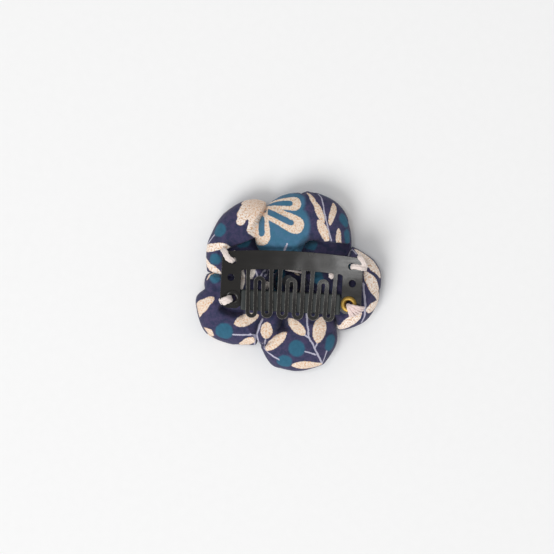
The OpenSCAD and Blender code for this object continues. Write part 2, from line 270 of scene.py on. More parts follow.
# ---------------------------------------------------------------- printed cotton
def shape_group(build, *inputs):
    """A node group that gives how far inside a printed shape a point lies, in millimetres."""
    tree = bpy.data.node_groups.new(build.__name__, "ShaderNodeTree")
    for key in ("Point", "From", "To", *inputs):
        kind = "NodeSocketFloat" if key in inputs else "NodeSocketVector"
        tree.interface.new_socket(key, in_out="INPUT", socket_type=kind)
    tree.interface.new_socket("Inside", in_out="OUTPUT", socket_type="NodeSocketFloat")
    s = Shader(tree)
    given = s.node("NodeGroupInput").outputs
    axis = s.vector("SUBTRACT", given["To"], given["From"])
    arm = s.vector("SUBTRACT", given["Point"], given["From"])
    length2 = s.vector("DOT_PRODUCT", axis, axis)
    share = s.math("DIVIDE", s.vector("DOT_PRODUCT", arm, axis), length2)
    area = s.vector("LENGTH", s.vector("CROSS_PRODUCT", arm, axis))
    beside = s.math("DIVIDE", area, s.math("SQRT", length2))
    s.node("NodeGroupOutput", {"Inside": build(s, given, axis, share, beside)})
    return tree


def leaf_shape(s, given, axis, share, beside):
    """A leaf that is pointed at both ends."""
    crown = s.times(s.times(share, 4.0), s.minus(1.0, share))
    profile = s.math("POWER", s.math("MAXIMUM", crown, 0.0), 0.62)
    half = s.times(s.times(given["Width"], 0.5), profile)
    return s.math("ADD", s.minus(half, beside), s.math("MINIMUM", crown, 0.0))


def off_axis(s, given, axis, share):
    """Distance from the point to the place at that share of the way along the axis."""
    nearest = s.vector("ADD", given["From"], s.vector("SCALE", axis, scale=share))
    return s.vector("DISTANCE", given["Point"], nearest)


def stem_shape(s, given, axis, share, beside):
    """A stem or berry with round ends."""
    within = s.math("ADD", share, 0.0, clamp=True)
    return s.minus(s.times(given["Width"], 0.5), off_axis(s, given, axis, within))


def loop_shape(s, given, axis, share, beside):
    """A drawn outline, narrow at its foot and round and heavy at its tip."""
    def inside(end, line):
        at = s.math("MINIMUM", s.math("MAXIMUM", share, 0.0), end)
        size = s.times_plus(s.math("SQRT", at), 0.55, 0.45)
        size = s.times(s.times(given["Width"], 0.5), size)
        return s.minus(s.minus(size, off_axis(s, given, axis, at)), line)

    stroke = s.times(given["Stroke"], s.times_plus(share, 0.5, 0.5))
    hollow = inside(0.9, stroke)
    return s.math("MINIMUM", inside(1.0, 0.0), s.times(hollow, -1.0))


LEAF = shape_group(leaf_shape, "Width")
STEM = shape_group(stem_shape, "Width")
LOOP = shape_group(loop_shape, "Width", "Stroke")

GROUND, VIOLET = colour("2c3350"), colour("474060")
BERRY, DEEP_BERRY = colour("346a84"), colour("26566e")
FIELD, DEEP_FIELD = colour("477190"), colour("3c6d88")
# The pale cream is painted light: a lighter cream for printed leaves that lie in shade
CREAM, PAINTED_LIT_CREAM, PEACH, STEM_WHITE = colour("ecdccc"), colour("fbf0e6"), colour("dcb28e"), colour("bcb9cb")
PRINT_R = 21.8, 22.6  # where the placed motifs give way to the sprigs, from the flower's middle
SPRIG_CELL = 11.0  # side of the square in which the sprig repeats
YARN_PITCH = 0.26
SPRIG = dict(
    leaves=[((2.0, 2.2), (5.2, 3.4), 2.1), ((5.0, 6.0), (3.0, 9.4), 2.2), ((7.2, 4.4), (9.6, 7.4), 2.0)],
    stems=[((5.2, 0.4), (6.0, 5.0), 0.3), ((6.0, 5.0), (5.4, 10.4), 0.3), ((6.0, 5.0), (7.4, 4.6), 0.25),
           ((8.8, 1.7), (5.5, 2.0), 0.25)],
    berries=[((9.2, 1.7), (9.3, 1.7), 3.2), ((1.6, 6.6), (1.7, 6.6), 2.8), ((9.0, 9.6), (9.1, 9.6), 2.6)])
FLAT = (1.0, 1.0, 0.0)


def drawn(s, group, point, start, end, width, stroke=None):
    """How far inside one printed leaf, stem or outlined petal the point lies."""
    inputs = {"Point": point, "From": (*start, 0), "To": (*end, 0), "Width": width}
    if stroke:
        inputs["Stroke"] = stroke
    return s.node("ShaderNodeGroup", inputs, node_tree=group).outputs[0]


def joined(s, values):
    """How far inside any of the shapes the point lies."""
    total = values[0]
    for v in values[1:]:
        total = s.math("MAXIMUM", total, v)
    return total


def cotton_finish(s, surface, base, point, seam):
    """Gives printed cotton its weave, slubs, sheen and roughness, and a fine groove at the seam."""
    split, yarn_turn = s.split(point), TURN / YARN_PITCH
    warp = s.math("SINE", s.times(split[0], yarn_turn))
    weft = s.math("SINE", s.times(split[1], yarn_turn))
    yarn = s.times_plus(s.times(warp, weft), 0.5, 0.5)
    slub = s.math("ADD", *(s.noise(s.vector("MULTIPLY", point, stretch), 1.0, 3.0)
                           for stretch in ((1.5, 9.0, 1.0), (9.0, 1.5, 1.0))))
    shade = s.times_plus(yarn, 0.16, s.times_plus(slub, 0.30, 0.62))
    shade = s.times(shade, s.times_plus(seam, -0.5, 1.0))
    height = s.times_plus(seam, -4.0, s.times_plus(slub, 0.5, yarn))
    s.fill(surface, {
        "Base Color": s.vector("SCALE", base, scale=shade),
        "Roughness": s.times_plus(slub, 0.12, 0.76),
        "Normal": s.bump(height, 0.35, 0.03 * MM),
        "Sheen Weight": 0.12, "Sheen Roughness": 0.45, "Specular IOR Level": 0.3})


def printed_cotton(name, motifs):
    """Printed cotton with the motifs' own leaves, stems, berries, fields and outlined petals; a petal's pale
    cream and bright leaves are painted light where it lies in shade.
    """
    material, s, surface = new_material(name)
    back, front = (s.node("ShaderNodeAttribute", attribute_name=key).outputs["Vector"]
                   for key in ("print", "print_front"))
    level = s.split(back)[2]
    seam = s.smooth(s.math("ABSOLUTE", s.minus(level, SEAM_LEVEL)), 0.05, 0.01)
    on_back = s.math("GREATER_THAN", level, SEAM_LEVEL)
    point = s.node("ShaderNodeMix", {"Factor": on_back, 4: front, 5: back}, data_type="VECTOR").outputs[1]
    point = s.vector("MULTIPLY", point, FLAT)
    hand = point
    for scale, sway in ((0.7, 0.34), (3.6, 0.26)):
        wobble = s.vector("SUBTRACT", s.noise(point, scale, 1.0, output="Color"), (0.5, 0.5, 0.5))
        hand = s.vector("ADD", hand, s.vector("MULTIPLY", s.vector("SCALE", wobble, scale=sway), FLAT))
    far = s.smooth(s.vector("LENGTH", hand), *PRINT_R)
    near = s.minus(1.0, far)
    cell = {0: hand, 1: (SPRIG_CELL,) * 3, 2: (0, 0, 0)}
    wrapped = s.node("ShaderNodeVectorMath", cell, operation="WRAP").outputs[0]

    def shapes(group, key):
        return [drawn(s, group, hand, *motif) for motif in motifs.get(key, ())]

    def layer(own, soft, group=None, sprig=None):
        """How much of a colour shows: its own shapes near the flower, and the sprig's beyond."""
        own = s.times(s.smooth(joined(s, own), -soft, soft), near) if own else 0.0
        if not group:
            return own
        other = joined(s, [drawn(s, group, wrapped, *motif) for motif in SPRIG[sprig]])
        return s.times_plus(s.smooth(other, -soft, soft), far, own)

    base = s.mix(s.smooth(s.noise(hand, 0.8, 6.0, 0.75), 0.36, 0.64), GROUND, VIOLET)
    fields = shapes(STEM, "fields")
    if fields:
        field_tone = s.mix(s.smooth(s.noise(hand, 0.5, 3.0), 0.35, 0.65), DEEP_FIELD, FIELD)
        base = s.mix(layer(fields, 0.5), base, field_tone)
    berry_tone = s.mix(s.noise(hand, 1.3, 2.0), DEEP_BERRY, BERRY)
    base = s.mix(layer(shapes(STEM, "berries"), 0.3, STEM, "berries"), base, berry_tone)
    base = s.mix(layer(shapes(STEM, "stems"), 0.09, STEM, "stems"), base, STEM_WHITE)
    speck = s.smooth(s.noise(hand, 2.8, 2.0, 0.7), 0.48, 0.6)
    # A petal may give the pale cream here: painted light, lightening its cream print where the petal lies in
    # shade
    cream = s.mix(speck, motifs.get("cream", CREAM), PEACH)
    if "blush" in motifs:
        middle, reach = motifs["blush"]
        blush = s.smooth(s.vector("DISTANCE", hand, (*middle, 0)), reach, reach * 0.2)
        cream = s.mix(s.times(blush, 0.35), cream, PEACH)
    leaves = shapes(LEAF, "leaves") + shapes(STEM, "lobes") + shapes(LOOP, "outlines")
    base = s.mix(layer(leaves, 0.1, LEAF, "leaves"), base, cream)
    # The bright leaves are painted light: pale cream laid on leaves in the shade under the clip
    painted_lit_leaves = shapes(LEAF, "painted_lit_leaves")
    if painted_lit_leaves:
        base = s.mix(layer(painted_lit_leaves, 0.1), base, PAINTED_LIT_CREAM)
    cotton_finish(s, surface, base, point, seam)
    return material


# ---------------------------------------------------------------- petals
# The outlines below are those of the CAD petals.
# Seams between neighbouring petals, from the gathered ring outward, in the flower's flat frame
SEAMS = {
    "ab": [(-2.3, 1.9), (-4.6, 4.9), (-6.9, 8.0), (-7.2, 11.2), (-6.1, 14.4), (-4.5, 17.3)],
    "bc": [(2.8, 1.2), (7.6, 3.9), (12.4, 5.4), (14.1, 7.9)],
    "cd": [(2.2, -2.1), (6.4, -4.8), (9.8, -7.4), (10.8, -10.8)],
    "de": [(-1.3, -2.8), (-3.6, -6.2), (-5.7, -9.2), (-6.9, -12.0), (-7.0, -14.2)],
    "ea": [(-3.0, -0.2), (-8.6, 0.9), (-13.6, 1.7), (-18.1, 2.0)],
}
# How blunt the edge that lies underneath is at each seam: high values close the valley over it
TUCKED_UNDER = {"ab": 14.0, "bc": 2.6, "cd": 3.0, "de": 60.0, "ea": 26.0}
LYING_OVER = {"ab": 8.0, "bc": 4.5, "cd": 4.5, "de": 50.0, "ea": 20.0}
# For each petal: its seams clockwise and anticlockwise, whether it lies over (1) or under (-1) that
# neighbour, its own middle, and the free edge between the two notches
PETALS = {
    "top_left": dict(
        seams=(("ab", -1), ("ea", 1)), middle=(-10.8, 8.6),
        rim=[(-7.1, 18.3), (-10.6, 17.7), (-14.8, 14.8), (-17.2, 10.7), (-18.2, 7.8), (-18.3, 4.6)]),
    "top_right": dict(
        seams=(("bc", 1), ("ab", 1)), middle=(3.9, 11.0),
        rim=[(13.9, 11.4), (13.0, 14.9), (10.4, 18.0), (5.8, 20.2), (2.3, 20.3), (-1.7, 19.2)]),
    "right": dict(
        seams=(("cd", -1), ("bc", -1)), middle=(12.0, -1.6),
        rim=[(13.5, -10.6), (17.2, -8.9), (19.4, -6.1), (20.4, -3.6), (20.8, 1.2), (20.0, 3.5),
             (18.2, 5.5)]),
    "bottom": dict(
        seams=(("de", 1), ("cd", 1)), middle=(2.0, -10.8),
        rim=[(-6.2, -15.5), (-3.7, -18.7), (-1.2, -19.6), (2.6, -20.1), (7.0, -18.9),
             (8.5, -17.8), (10.8, -13.9)]),
    "lower_left": dict(
        seams=(("ea", -1), ("de", -1)), middle=(-11.4, -5.8),
        rim=[(-18.9, 0.1), (-19.3, -1.5), (-20.5, -3.2), (-20.8, -5.1), (-20.1, -8.3), (-18.9, -11.0),
             (-16.9, -12.7), (-12.8, -14.1), (-9.6, -14.3)]),
}
# Each printed shape is (from, to, width), and an outline's stroke comes last; blush is (middle, reach)
# Where a petal gives the pale cream, and in its bright leaves, the print carries painted light: cream made
# lighter where the petal lies in shade
MOTIFS = {
    "top_left": dict(
        # painted light: the pale cream lightens this petal's cream print, which lies in shade
        cream=PAINTED_LIT_CREAM,
        leaves=[((-25.0, 6.3), (-13.0, 8.0), 1.9), ((-20.4, 4.3), (-14.4, 1.2), 2.2)],
        # painted light: pale cream leaves in the shade under the clip
        painted_lit_leaves=[((-10.2, 3.2), (-10.3, -1.9), 1.4), ((-7.4, 3.2), (-8.7, 0.1), 1.2)],
        lobes=[((-8.7, 17.6), (-10.0, 14.5), 2.7), ((-9.8, 15.0), (-10.55, 13.1), 1.9),
               ((-7.2, 15.6), (-8.0, 11.25), 2.2), ((-6.0, 15.6), (-6.9, 11.6), 2.4),
               ((-4.8, 18.4), (-8.2, 18.0), 4.4), ((-6.6, 17.0), (-8.2, 14.9), 3.4)],
        berries=[((-15.2, 11.4), (-15.2, 11.3), 2.9), ((-16.2, 4.9), (-16.0, 4.9), 2.4),
                 ((-8.8, 4.9), (-8.0, 5.1), 2.4)],
        stems=[((-18.8, 8.4), (-16.4, 10.2), 0.38), ((-7.4, 2.9), (-6.7, 0.9), 0.32),
               ((-4.9, 3.2), (-6.3, 0.9), 0.32), ((-3.9, 2.9), (-5.1, 1.1), 0.3)],
        blush=((-6.2, 16.6), 5.6)),
    "top_right": dict(
        fields=[((-3.6, 14.4), (-0.9, 12.2), 11.2), ((-2.6, 18.8), (0.5, 17.4), 6.4),
                ((-5.0, 8.4), (1.0, 8.4), 6.0), ((-8.4, 13.0), (-7.6, 8.0), 5.0)],
        outlines=[((-7.6, 17.75), (1.25, 17.1), 3.1, 0.95), ((-7.7, 17.0), (1.5, 12.45), 3.9, 1.3),
                  ((-6.0, 16.2), (-5.75, 9.85), 3.8, 1.25)],
        leaves=[((4.1, 20.5), (7.9, 13.2), 1.0), ((5.7, 17.8), (7.8, 12.8), 1.5),
                ((10.5, 17.9), (9.0, 12.4), 1.45), ((6.5, 13.6), (8.6, 9.2), 1.9),
                ((11.0, 11.8), (10.9, 7.6), 1.15)],
        stems=[((7.2, 20.5), (7.9, 15.0), 0.28), ((7.9, 15.0), (9.3, 9.2), 0.28),
               ((-0.3, 8.3), (-0.9, 6.6), 0.4)],
        berries=[((12.5, 14.0), (12.9, 13.4), 2.6), ((13.3, 10.6), (13.4, 9.4), 2.2),
                 ((5.4, 4.4), (6.0, 4.3), 2.4)]),
    "right": dict(
        # painted light: the pale cream lightens this petal's cream print, which lies in shade
        cream=PAINTED_LIT_CREAM,
        leaves=[((14.9, 7.9), (21.6, 1.0), 3.0), ((16.6, 2.2), (21.6, -5.0), 2.7),
                ((10.6, -11.8), (16.1, -6.7), 2.6), ((17.1, -6.6), (21.6, -5.4), 2.8)],
        stems=[((16.4, -0.6), (16.9, -5.2), 0.42), ((16.9, -5.2), (16.7, -10.0), 0.42),
               ((14.0, 8.0), (13.4, 5.9), 0.34), ((14.0, 8.0), (14.9, 6.0), 0.34)],
        berries=[((13.2, 2.6), (13.3, 2.6), 2.4), ((6.5, 1.2), (6.7, 0.4), 2.2)]),
    "bottom": dict(
        leaves=[((0.0, -8.2), (3.6, -11.8), 2.35), ((7.2, -7.8), (6.3, -13.5), 2.9),
                ((0.8, -18.5), (8.2, -19.3), 2.5), ((-4.7, -9.0), (-4.85, -12.7), 2.55),
                ((-0.4, -11.2), (-5.2, -15.5), 2.2)],
        stems=[((3.9, -7.0), (4.4, -12.1), 0.36), ((4.4, -12.1), (6.0, -15.2), 0.38),
               ((6.0, -15.2), (8.2, -19.4), 0.38), ((3.4, -11.6), (4.4, -12.3), 0.34),
               ((6.3, -13.3), (5.8, -14.9), 0.32), ((3.7, -15.4), (5.9, -16.1), 0.3),
               ((8.4, -15.4), (8.0, -19.0), 0.34), ((-5.0, -12.9), (-5.8, -15.3), 0.32),
               ((-5.8, -15.3), (-2.0, -17.3), 0.28), ((-6.9, -11.7), (-5.7, -8.3), 0.4),
               ((-6.9, -11.7), (-6.6, -14.4), 0.4)],
        berries=[((1.8, -14.7), (1.9, -14.8), 3.5), ((-0.9, -17.8), (-0.7, -17.8), 3.1),
                 ((9.55, -12.9), (9.3, -14.3), 2.5)]),
    "lower_left": dict(
        leaves=[((-11.9, -9.4), (-6.6, -7.5), 2.7), ((-10.7, -15.6), (-7.7, -12.5), 2.8),
                ((-24.8, -9.0), (-17.2, -4.4), 3.4), ((-20.6, -6.0), (-16.2, -3.7), 1.8),
                ((-18.6, 0.7), (-16.7, 2.5), 0.9)],
        lobes=[((-19.4, -11.9), (-17.8, -11.7), 2.4)],
        # painted light: pale cream leaves in the shade under the clip
        painted_lit_leaves=[((-10.2, 3.2), (-10.3, -1.9), 1.4), ((-4.5, 0.6), (-4.8, -1.8), 0.9)],
        stems=[((-12.3, -11.7), (-7.8, -11.75), 0.32), ((-7.6, -11.9), (-5.9, -8.1), 0.34),
               ((-7.7, -12.0), (-6.9, -15.2), 0.34), ((-7.75, -11.85), (-7.6, -11.9), 0.6)],
        berries=[((-14.35, -11.0), (-14.0, -11.0), 3.5), ((-16.5, 0.9), (-16.2, 0.6), 2.2)]),
}


def curve_at(around, t):
    """The point at share t between the middle two of four points on a smooth curve."""
    a, b, c, d = around
    square, cube = 2 * a - 5 * b + 4 * c - d, 3 * b - a - 3 * c + d
    return (2 * b + (c - a) * t + square * t ** 2 + cube * t ** 3) / 2


def rounded_loop(points, closed=True, pieces=10):
    """A smooth curve through the points."""
    p = np.asarray(points, float)
    n = len(p)
    out = []
    for i in range(n if closed else n - 1):
        around = [p[(i + k) % n] if closed else p[min(max(i + k, 0), n - 1)] for k in (-1, 0, 1, 2)]
        out += [curve_at(around, j / pieces) for j in range(pieces)]
    if not closed:
        out.append(p[-1])
    return np.array(out)


def sampled(points, count):
    """Points along a smooth open curve that stay clear of its two ends."""
    p = np.asarray(points, float)
    u = (np.arange(count) + 0.5) * (len(p) - 1) / count
    i = np.minimum(u.astype(int), len(p) - 2)
    return curve_at([p[np.clip(i + k, 0, len(p) - 1)] for k in (-1, 0, 1, 2)], (u - i)[:, None])


def polar_outline(petal):
    """Angles round the petal's middle, and there the outline's distance, lean, bluntness and outward way."""
    (near, near_over), (far, far_over) = petal["seams"]
    swing = np.sin(math.pi * (np.arange(SEAM_STEPS) + 0.5) / SEAM_STEPS)
    rim = sampled([SEAMS[near][-1], *petal["rim"], SEAMS[far][-1]], RIM_STEPS)
    out, back = sampled(SEAMS[near], SEAM_STEPS), sampled(SEAMS[far], SEAM_STEPS)[::-1]
    share = np.arange(1, INNER_STEPS + 1)[:, None] / (INNER_STEPS + 1)
    inner = back[-1] + (out[0] - back[-1]) * share
    inner *= INNER_R / np.linalg.norm(inner, axis=1)[:, None]
    loop = np.vstack([out, rim, back, inner])
    over = np.concatenate([near_over * swing, np.zeros(RIM_STEPS), far_over * swing, np.zeros(INNER_STEPS)])
    blunt = [LYING_OVER[key] if sign > 0 else TUCKED_UNDER[key] for key, sign in petal["seams"]]
    near_blunt, far_blunt = (RIM_BLUNT * (b / RIM_BLUNT) ** np.sqrt(swing) for b in blunt)
    rim_blunt, inner_blunt = (np.full(steps, RIM_BLUNT) for steps in (RIM_STEPS, INNER_STEPS))
    blunt = np.concatenate([near_blunt, rim_blunt, far_blunt, inner_blunt])
    curve = rounded_loop(np.column_stack([loop, over, blunt]), pieces=6)
    ahead = np.roll(curve[:, :2], -1, axis=0) - np.roll(curve[:, :2], 1, axis=0)
    outward_way = np.column_stack([ahead[:, 1], -ahead[:, 0]]) / np.linalg.norm(ahead, axis=1)[:, None]
    arm = curve[:, :2] - SKIN_GAP * outward_way - np.array(petal["middle"])
    angle = np.arctan2(arm[:, 1], arm[:, 0])
    order = np.argsort(angle)
    blunt = np.concatenate([curve[-1:, 3], curve[:, 3], curve[:1, 3]])
    blunt = np.convolve(blunt, (0.25, 0.5, 0.25), "valid")
    around = (angle, np.linalg.norm(arm, axis=1), curve[:, 2], blunt, *outward_way.T)
    return [values[order] for values in around]


def disk_grid(n):
    """A square grid of n by n quads bent into a round disk: radius, angle and faces."""
    line = np.linspace(-1, 1, n + 1)
    u, v = np.meshgrid(line, line)
    x, y = u * np.sqrt(1 - v * v / 2), v * np.sqrt(1 - u * u / 2)
    index = np.arange((n + 1) ** 2).reshape(n + 1, n + 1)
    faces = np.stack([index[:-1, :-1], index[:-1, 1:], index[1:, 1:], index[1:, :-1]], -1).reshape(-1, 4)
    edge = (np.abs(u) > 0.9999) | (np.abs(v) > 0.9999)
    return np.hypot(x, y).ravel(), np.arctan2(y, x).ravel(), faces, edge.ravel()


def spread_share(rho, blunt):
    """Turns each point's share of the way along the skin, crown to rim, into its share of the way out."""
    f = 1 - np.linspace(1, 0, 900) ** 1.6
    kinds = np.geomspace(2.0, 120.0, 16)
    rows = []
    for kind in kinds:
        z = PETAL_HALF_T * (1 - f ** kind) ** ROUND_POWER
        walked = np.concatenate([[0], np.cumsum(np.hypot(np.diff(f) * 9.0, np.diff(z)))])
        rows.append(np.interp(rho, walked / walked[-1], f))
    at = np.interp(np.log(blunt), np.log(kinds), np.arange(len(kinds)))
    low = np.minimum(at.astype(int), len(kinds) - 2)
    rows, point = np.array(rows), np.arange(len(rho))
    return rows[low, point] + (rows[low + 1, point] - rows[low, point]) * (at - low)


def petal_grid(petal, n):
    """One petal's closed skin in the flower's flat frame: points, faces and level (-1 front, 1 back)."""
    rho, angle, faces, edge = disk_grid(n)
    angles, *around = polar_outline(petal)
    b, over, blunt, way_x, way_y = (np.interp(angle, angles, value, period=TURN) for value in around)
    f = spread_share(rho, blunt)
    rise = (1 - f ** blunt) ** ROUND_POWER
    sheets = []
    for side in (1, -1):
        level = side * rise
        aside = over * level * f
        x = petal["middle"][0] + f * b * np.cos(angle) + aside * way_x
        y = petal["middle"][1] + f * b * np.sin(angle) + aside * way_y
        mid = PETAL_HALF_T + PETAL_LIFT * np.clip(1 - np.hypot(x, y) / PETAL_MID_R, 0, 1)
        sheets.append(np.column_stack([x, y, mid + PETAL_HALF_T * level, level]))
    count = len(rho)
    inner = np.flatnonzero(~edge)
    new_index = np.arange(count)
    new_index[inner] = count + np.arange(len(inner))
    points = np.vstack([sheets[0], sheets[1][inner]])
    return points[:, :3], np.vstack([faces, new_index[faces][:, ::-1]]), points[:, 3]


def print_place(petal, points, level):
    """Each point's place on the back cloth, which is drawn on over the rim, and on the front one."""
    middle = np.array(petal["middle"])
    arm = points[:, :2] - middle
    angles, reach = polar_outline(petal)[:2]
    b = np.interp(np.arctan2(arm[:, 1], arm[:, 0]), angles, reach, period=TURN)
    out = np.linalg.norm(arm, axis=1)
    walked = np.maximum(0.55 - level, 0) * PETAL_HALF_T * 0.9
    walked += np.where(level < 0, 2 * np.maximum(b - out, 0), 0)
    back = middle + arm * (1 + walked / np.maximum(out, 0.5))[:, None]
    return back, points[:, :2] * (-1, 1) + middle * 2.4


def store_print(ob, back, front, level):
    """Keeps both cloth places with the mesh; the back one's third value is the level, -1 in front to 1."""
    for key, flat, third in (("print", back, level), ("print_front", front, np.zeros(len(level)))):
        layout = ob.data.attributes.new(key, "FLOAT_VECTOR", "POINT")
        layout.data.foreach_set("vector", np.column_stack([flat, third]).ravel())


CLOTH_SETTINGS = dict(
    quality=6, mass=0.25, tension_stiffness=18, compression_stiffness=18, shear_stiffness=8,
    bending_stiffness=0.35, use_pressure=True, uniform_pressure_force=4, shrink_min=-0.07,
    vertex_group_mass="held")
CLOTH_SCALE = 25  # the skins are simulated this much larger than life
CLOTH_FRAMES, CACHE_FRAMES = 20, 24


def puff(name, points, faces, pinned):
    """Points of a skin that cloth simulation has puffed with air from inside."""
    scale = CLOTH_SCALE * MM
    mesh = bpy.data.meshes.new(name)
    mesh.from_pydata([tuple(p) for p in points * scale], [], [list(f) for f in faces])
    ob = new_object(name, mesh)
    group = ob.vertex_groups.new(name="held")
    for i in np.flatnonzero(pinned > 0):
        group.add([int(i)], float(pinned[i]), "REPLACE")
    cloth = ob.modifiers.new("cloth", "CLOTH")
    for key, value in CLOTH_SETTINGS.items():
        setattr(cloth.settings, key, value)
    cloth.settings.effector_weights.gravity = 0
    cloth.collision_settings.use_collision = False
    cloth.collision_settings.use_self_collision = False
    scene = bpy.context.scene
    scene.frame_start, scene.frame_end = 1, CACHE_FRAMES
    cloth.point_cache.frame_start, cloth.point_cache.frame_end = 1, CACHE_FRAMES
    for f in range(1, CLOTH_FRAMES + 1):
        scene.frame_set(f)
    deps = bpy.context.evaluated_depsgraph_get()
    puffed = read(ob.evaluated_get(deps).data.vertices, "co") / scale
    scene.frame_set(1)
    bpy.data.objects.remove(ob)
    bpy.data.meshes.remove(mesh)
    return puffed


def soft_noise(points, scale, seed):
    """Smooth noise from -1 to 1, the same on every run."""
    rng = np.random.default_rng(seed)
    total = np.zeros(len(points))
    for _ in range(7):
        wave = rng.normal(size=3)
        wave = wave / np.linalg.norm(wave) * scale * rng.uniform(0.6, 1.4)
        total += np.sin(points @ wave + rng.uniform(0, TURN))
    return total / 3.5


def beside_line(p, line):
    """Signed distance to the left of a line of points, and the share of the way along it."""
    best, side, where = np.full(len(p), 1e9), np.zeros(len(p)), np.zeros(len(p))
    line = np.asarray(line, float)
    lengths = np.linalg.norm(np.diff(line, axis=0), axis=1)
    total, walked = lengths.sum(), 0.0
    for a, b, length in zip(line[:-1], line[1:], lengths):
        axis = (b - a) / length
        arm = p - a
        t = np.clip(arm @ axis, 0, length)
        gap = arm - t[:, None] * axis
        distance = np.linalg.norm(gap, axis=1)
        closer = distance < best
        best = np.where(closer, distance, best)
        side = np.where(closer, np.sign(axis[0] * arm[:, 1] - axis[1] * arm[:, 0]), side)
        where = np.where(closer, (walked + t) / total, where)
        walked += length
    return best * side, where


def tuck(points, level, cloth, line, drop, lip, back):
    """Folds the back skin: left of the line it drops under a lip, and rises again over the span back."""
    left, where = beside_line(points[:, :2], rounded_loop(line, closed=False))
    axis = np.array(line[-1], float) - line[0]
    normal = np.array([-axis[1], axis[0]]) / np.linalg.norm(axis)
    on_back = step(level, 0.1, 0.5) * step(where, 0.0, 0.1) * step(where, 1.0, 0.93)
    cloth += normal * (4.0 * step(left, -0.05, 0.3) * on_back * step(left, 6.2, 2.8))[:, None]
    points[:, 2] -= drop * step(left, -0.15, 0.3) * on_back * step(left, back[1], back[0])
    points[:, 2] += 0.22 * np.exp(-((left + 0.8) / 0.8) ** 2) * on_back
    reach = np.where(left < -0.15, 0.55, 0.17)
    points[:, :2] += normal * (lip * np.exp(-((left + 0.15) / reach) ** 2) * on_back)[:, None]


def crease(points, level, line, depth, width):
    """Presses a groove into the back skin along the line."""
    left, where = beside_line(points[:, :2], rounded_loop(line, closed=False))
    ends = step(where, -0.02, 0.1) * step(where, 1.02, 0.85)
    points[:, 2] -= depth * np.exp(-(np.abs(left) / width) ** 1.5) * step(level, 0.05, 0.5) * ends


def gather(points, level, seed):
    """Draws the skin into pleats that run towards the gathered ring."""
    x, y = points[:, 0], points[:, 1]
    r = np.hypot(x, y)
    angle = np.arctan2(y, x)
    rng = np.random.default_rng(seed)
    sway = 0.25 * np.sin(3 * angle + rng.uniform(0, 6)) + 0.12 * np.sin(r * 0.9 + rng.uniform(0, 6))
    pleat = np.abs(np.sin(14 * (angle + 0.12 * sway) + rng.uniform(0, 3))) ** 0.8
    deep = step(r, 11.5, 4.0)
    points[:, 2] -= np.sign(level) * 0.75 * deep * (1 - pleat) * np.abs(level) ** 0.5
    fine = np.sin(37 * angle + 2 * np.sin(r * 0.7)) * step(r, 9.0, 3.5)
    points[:, 2] += np.sign(level) * 0.10 * fine * np.abs(level)


# For each fold: its line, how far it drops, how far its lip reaches and the span over which it rises again
TUCKS = {
    "top_left": ([(-6.6, 10.8), (-10.3, 9.2), (-13.2, 8.0), (-14.4, 7.2)], 2.4, 0.6, (3.5, 9.0)),
    "top_right": ([(14.6, 8.8), (11.6, 9.1), (8.1, 9.4), (5.2, 9.7), (3.9, 8.9), (2.4, 6.2)], 2.1, 0.7,
                  (1.0, 6.0)),
}
# For each groove: its line, depth and width
CREASES = {
    "bottom": [([(-0.2, -7.0), (-1.1, -9.2), (-2.3, -11.2), (-4.3, -13.2), (-5.8, -14.8)], 2.2, 0.5),
               ([(-1.5, -6.4), (-0.9, -11.4)], 2.8, 1.1),
               ([(5.6, -6.6), (5.4, -9.6)], 0.8, 0.7)],
    "lower_left": [([(-15.6, -5.4), (-13.6, -6.5), (-12.0, -6.9), (-9.6, -6.6)], 3.0, 0.8),
                   ([(-15.9, 1.0), (-16.3, -2.4), (-15.9, -5.6)], 0.6, 0.9)],
    "right": [([(9.5, 0.4), (15.8, 0.2)], 0.6, 0.8),
              ([(9.0, -5.4), (13.2, -7.8)], 0.7, 0.7),
              ([(15.6, 5.4), (17.4, 3.2)], 0.7, 0.6)],
    "top_left": [([(-5.2, 5.6), (-9.5, 6.1)], 0.8, 0.8),
                 ([(-14.0, 6.6), (-16.0, 6.2)], 0.8, 0.7)],
    "top_right": [([(0.6, 5.6), (0.2, 8.2)], 0.5, 0.8),
                  ([(-6.4, 7.2), (1.0, 7.3)], 0.6, 0.6),
                  ([(2.4, 6.6), (3.5, 8.2), (5.0, 9.4), (6.9, 9.7), (8.4, 9.5)], 3.2, 0.75)],
}


def make_petal(name, seed):
    """One padded petal: lofted, puffed, folded, creased, gathered and dressed in its own printed cotton."""
    petal = PETALS[name]
    points, faces, level = petal_grid(petal, GRID)
    cloth_back, cloth_front = print_place(petal, points, level)
    held = step(np.hypot(points[:, 0], points[:, 1]), 4.6, 3.2)
    moved = puff("puff_" + name, points, faces, held) - points
    length = np.linalg.norm(moved, axis=1)
    moved *= (PUFF_CAP * np.tanh(length / PUFF_CAP) / np.maximum(length, 1e-6))[:, None]
    points = points + moved
    if name in TUCKS:
        tuck(points, level, cloth_back, *TUCKS[name])
    for line, depth, width in CREASES[name]:
        crease(points, level, line, depth, width)
    gather(points, level, seed)
    points[:, 2] += 0.12 * soft_noise(points, 0.7, seed) * np.abs(level)
    points[:, 2] = np.maximum(points[:, 2], 0.0)
    ob = make_mesh("cotton_petal_" + name, in_flower(points), faces)
    store_print(ob, cloth_back, cloth_front, level)
    material = printed_cotton("printed_cotton_" + name, MOTIFS[name])
    finish_piece(subdivided(ob), [material], ["petal_" + name, "wadding_" + name])


for index, petal_name in enumerate(PETALS):
    make_petal(petal_name, index + 1)


